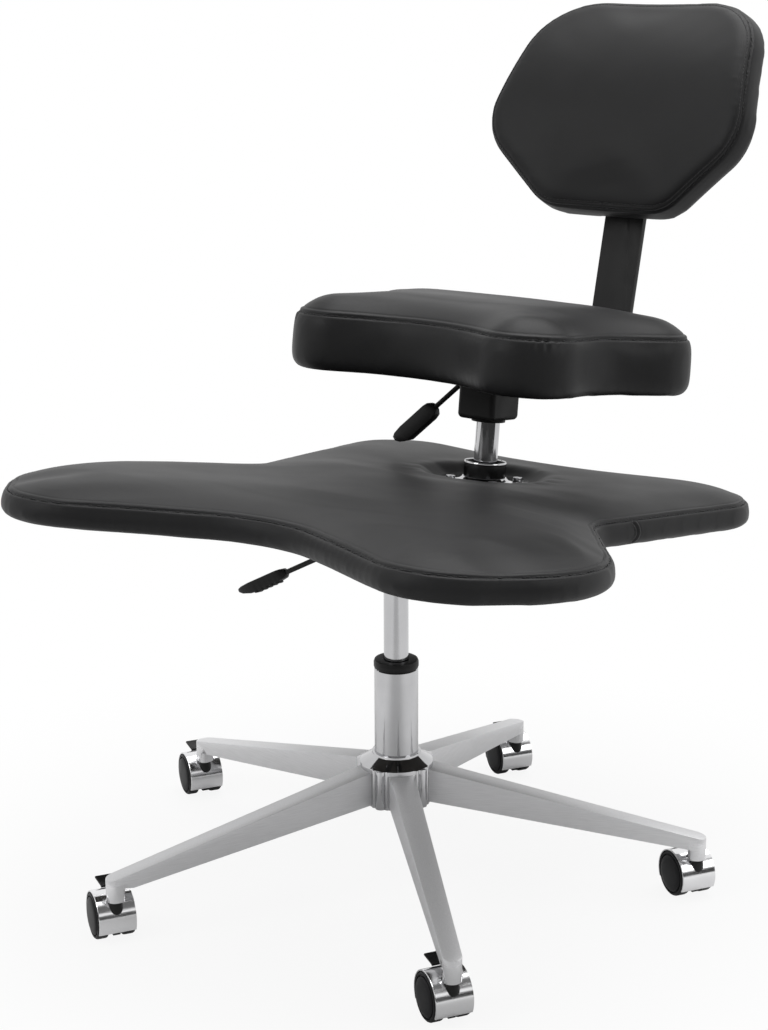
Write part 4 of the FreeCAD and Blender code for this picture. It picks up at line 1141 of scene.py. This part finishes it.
class CHAIR_OT_stage(bpy.types.Operator):
    """Camera at the chair's three-quarter view, pale floor and soft studio light"""

    bl_idname = "chair.stage"
    bl_label = "Stage"

    def lamp(self, name, place, aim, width, power):
        data = bpy.data.lights.new(name, "AREA")
        data.shape = "RECTANGLE"
        data.size = data.size_y = width
        data.energy = power
        obj = bpy.data.objects.new(name, data)
        bpy.context.scene.collection.objects.link(obj)
        obj.location = place
        obj.rotation_euler = (Vector(aim) - Vector(place)).to_track_quat("-Z", "Y").to_euler()

    def seen(self, tree):
        """Camera rays, and mirror and glass rays, as two masks."""
        path = add_node(tree, "LightPath").outputs
        return path["Is Camera Ray"], maths(tree, "MAXIMUM", path["Is Glossy Ray"], path["Is Transmission Ray"])

    def fade(self, tree, away, ray, start, end, least):
        """A mask that grows to 1 with distance, for one kind of ray."""
        spread = ramp(tree, away, start, end, least, 1.0, interpolation_type="SMOOTHSTEP")
        return maths(tree, "MULTIPLY", spread, ray)

    def camera(self, scene, choice):
        camera = bpy.data.cameras.new("camera")
        camera.sensor_fit = "VERTICAL"
        camera.sensor_height = SENSOR
        camera.lens = choice.lens
        viewer = bpy.data.objects.new("camera", camera)
        scene.collection.objects.link(viewer)
        forward = Vector((math.sin(choice.yaw) * math.cos(choice.pitch),
                          math.cos(choice.yaw) * math.cos(choice.pitch), -math.sin(choice.pitch)))
        right = Vector((math.cos(choice.yaw), -math.sin(choice.yaw), 0))
        up = right.cross(forward)
        across = right * math.cos(choice.roll) + up * math.sin(choice.roll)
        upright = up * math.cos(choice.roll) - right * math.sin(choice.roll)
        axes = Matrix((across, upright, -forward)).transposed().to_4x4()
        stand = Matrix.Translation((0, -choice.distance, choice.height))
        viewer.matrix_world = Matrix.Rotation(choice.azimuth, 4, "Z") @ stand @ axes
        scene.camera = viewer

    def floor(self, choice):
        """Keeps the chair's shadow, and turns white for the camera with distance and for mirrors far and beside."""
        clear()
        bpy.ops.mesh.primitive_plane_add(size=FLOOR_SIDE)
        floor = named("floor")
        material, tree, shader, place = new_material("pale_floor")
        mottled(tree, shader, place, choice.floor, 0.02, 2.0)
        plug(tree, shader, {"Roughness": 0.9, "Specular IOR Level": 0.0})
        away = add_node(tree, "VectorMath", {0: place}, operation="LENGTH").outputs["Value"]
        sideways = (math.cos(choice.azimuth), math.sin(choice.azimuth), 0)
        across = add_node(tree, "VectorMath", {0: place, 1: sideways}, operation="DOT_PRODUCT")
        off = maths(tree, "ABSOLUTE", across.outputs["Value"])
        camera_ray, mirror_ray = self.seen(tree)
        near = self.fade(tree, away, camera_ray, start=0.3, end=choice.spread, least=0.90)
        far = self.fade(tree, away, mirror_ray, start=1.0, end=2.6, least=0.0)
        beside = self.fade(tree, off, mirror_ray, start=0.15, end=0.6, least=0.0)
        share = maths(tree, "MAXIMUM", near, maths(tree, "MAXIMUM", far, beside))
        white = add_node(tree, "Emission", {"Color": WHITE, "Strength": 1.0})
        mix = add_node(tree, "MixShader", {0: share, 1: shader.outputs[0], 2: white.outputs[0]})
        plug(tree, tree.nodes["Material Output"], {"Surface": mix.outputs[0]})
        floor.data.materials.append(material)

    def grey_card(self, choice):
        """A bent card before the chair, dark below and white in a band, seen in reflections alone."""
        card = lathe("grey_card", CARD_PROFILE, 48, 150)
        middle = sum((v.co for v in card.data.vertices), Vector()) / len(card.data.vertices)
        facing = choice.azimuth - math.pi / 2 - math.atan2(middle.y, middle.x)
        card.data.transform(Matrix.Rotation(facing, 4, "Z"))
        material, tree, shader, place = new_material("grey_card")
        height = add_node(tree, "SeparateXYZ", {0: place}).outputs["Z"]
        low = ramp(tree, height, 0.95, 1.1, 0.06, 1.0)
        high = ramp(tree, height, 1.7, 2.1, 1.0, choice.card)
        glow = add_node(tree, "Emission", {"Color": WHITE, "Strength": maths(tree, "MULTIPLY", low, high)})
        plug(tree, tree.nodes["Material Output"], {"Surface": glow.outputs[0]})
        tree.nodes.remove(shader)
        card.data.materials.append(material)
        card.visible_camera = card.visible_diffuse = card.visible_shadow = False

    def world(self, scene, choice):
        world = scene.world = bpy.data.worlds.new("studio")
        world.use_nodes = True
        tree = world.node_tree
        tree.nodes.clear()
        seen = maths(tree, "MAXIMUM", *self.seen(tree))
        sky, white = (add_node(tree, "Background", {"Color": WHITE, "Strength": strength}).outputs[0]
                      for strength in (choice.sky, 1.0))
        mix = add_node(tree, "MixShader", {0: seen, 1: sky, 2: white})
        add_node(tree, "OutputWorld", {"Surface": mix.outputs[0]})

    def execute(self, context):
        choice = settings().stage
        context.scene.view_settings.view_transform = "Standard"
        self.camera(context.scene, choice)
        self.floor(choice)
        self.grey_card(choice)
        self.world(context.scene, choice)
        self.lamp("top_light", (0, 0.9, 3.1), (0, 0.1, 0.4), width=2.4, power=60)
        self.lamp("side_light", (2.7, 0.4, 1.7), (0, 0.1, 0.5), width=1.2, power=12)
        self.lamp("front_light", (-1.2, -2.4, 2.2), (0, 0, 0.4), width=1.2, power=22)
        return {"FINISHED"}


class CHAIR_PT_sidebar(bpy.types.Panel):
    """The chair's pieces and settings"""

    bl_idname = "CHAIR_PT_sidebar"
    bl_label = "Cross-legged chair"
    bl_space_type = "VIEW_3D"
    bl_region_type = "UI"
    bl_category = "Chair"

    def draw(self, context):
        for operator in OPERATORS:
            self.layout.operator(operator.bl_idname)
        chair = context.scene.chair
        for group in (chair.cushions, chair.metals, chair.plastics, chair.stage):
            column = self.layout.box()
            for key in group.__annotations__:
                column.prop(group, key)


OPERATORS = (CHAIR_OT_stage, CHAIR_OT_base, CHAIR_OT_columns, CHAIR_OT_casters, CHAIR_OT_mechanisms,
             CHAIR_OT_levers, CHAIR_OT_platform_cushion, CHAIR_OT_seat_cushion, CHAIR_OT_backrest_cushion)
GROUPS = (CushionSettings, MetalSettings, PlasticSettings, StageSettings, ChairSettings)


def register():
    for each in GROUPS + OPERATORS + (CHAIR_PT_sidebar,):
        bpy.utils.register_class(each)
    bpy.types.Scene.chair = PointerProperty(type=ChairSettings)


def unregister():
    del bpy.types.Scene.chair
    for each in reversed(GROUPS + OPERATORS + (CHAIR_PT_sidebar,)):
        bpy.utils.unregister_class(each)


def main():
    register()
    for operator in OPERATORS:
        family, name = operator.bl_idname.split(".")
        getattr(getattr(bpy.ops, family), name)()


if __name__ == "__main__":
    main()
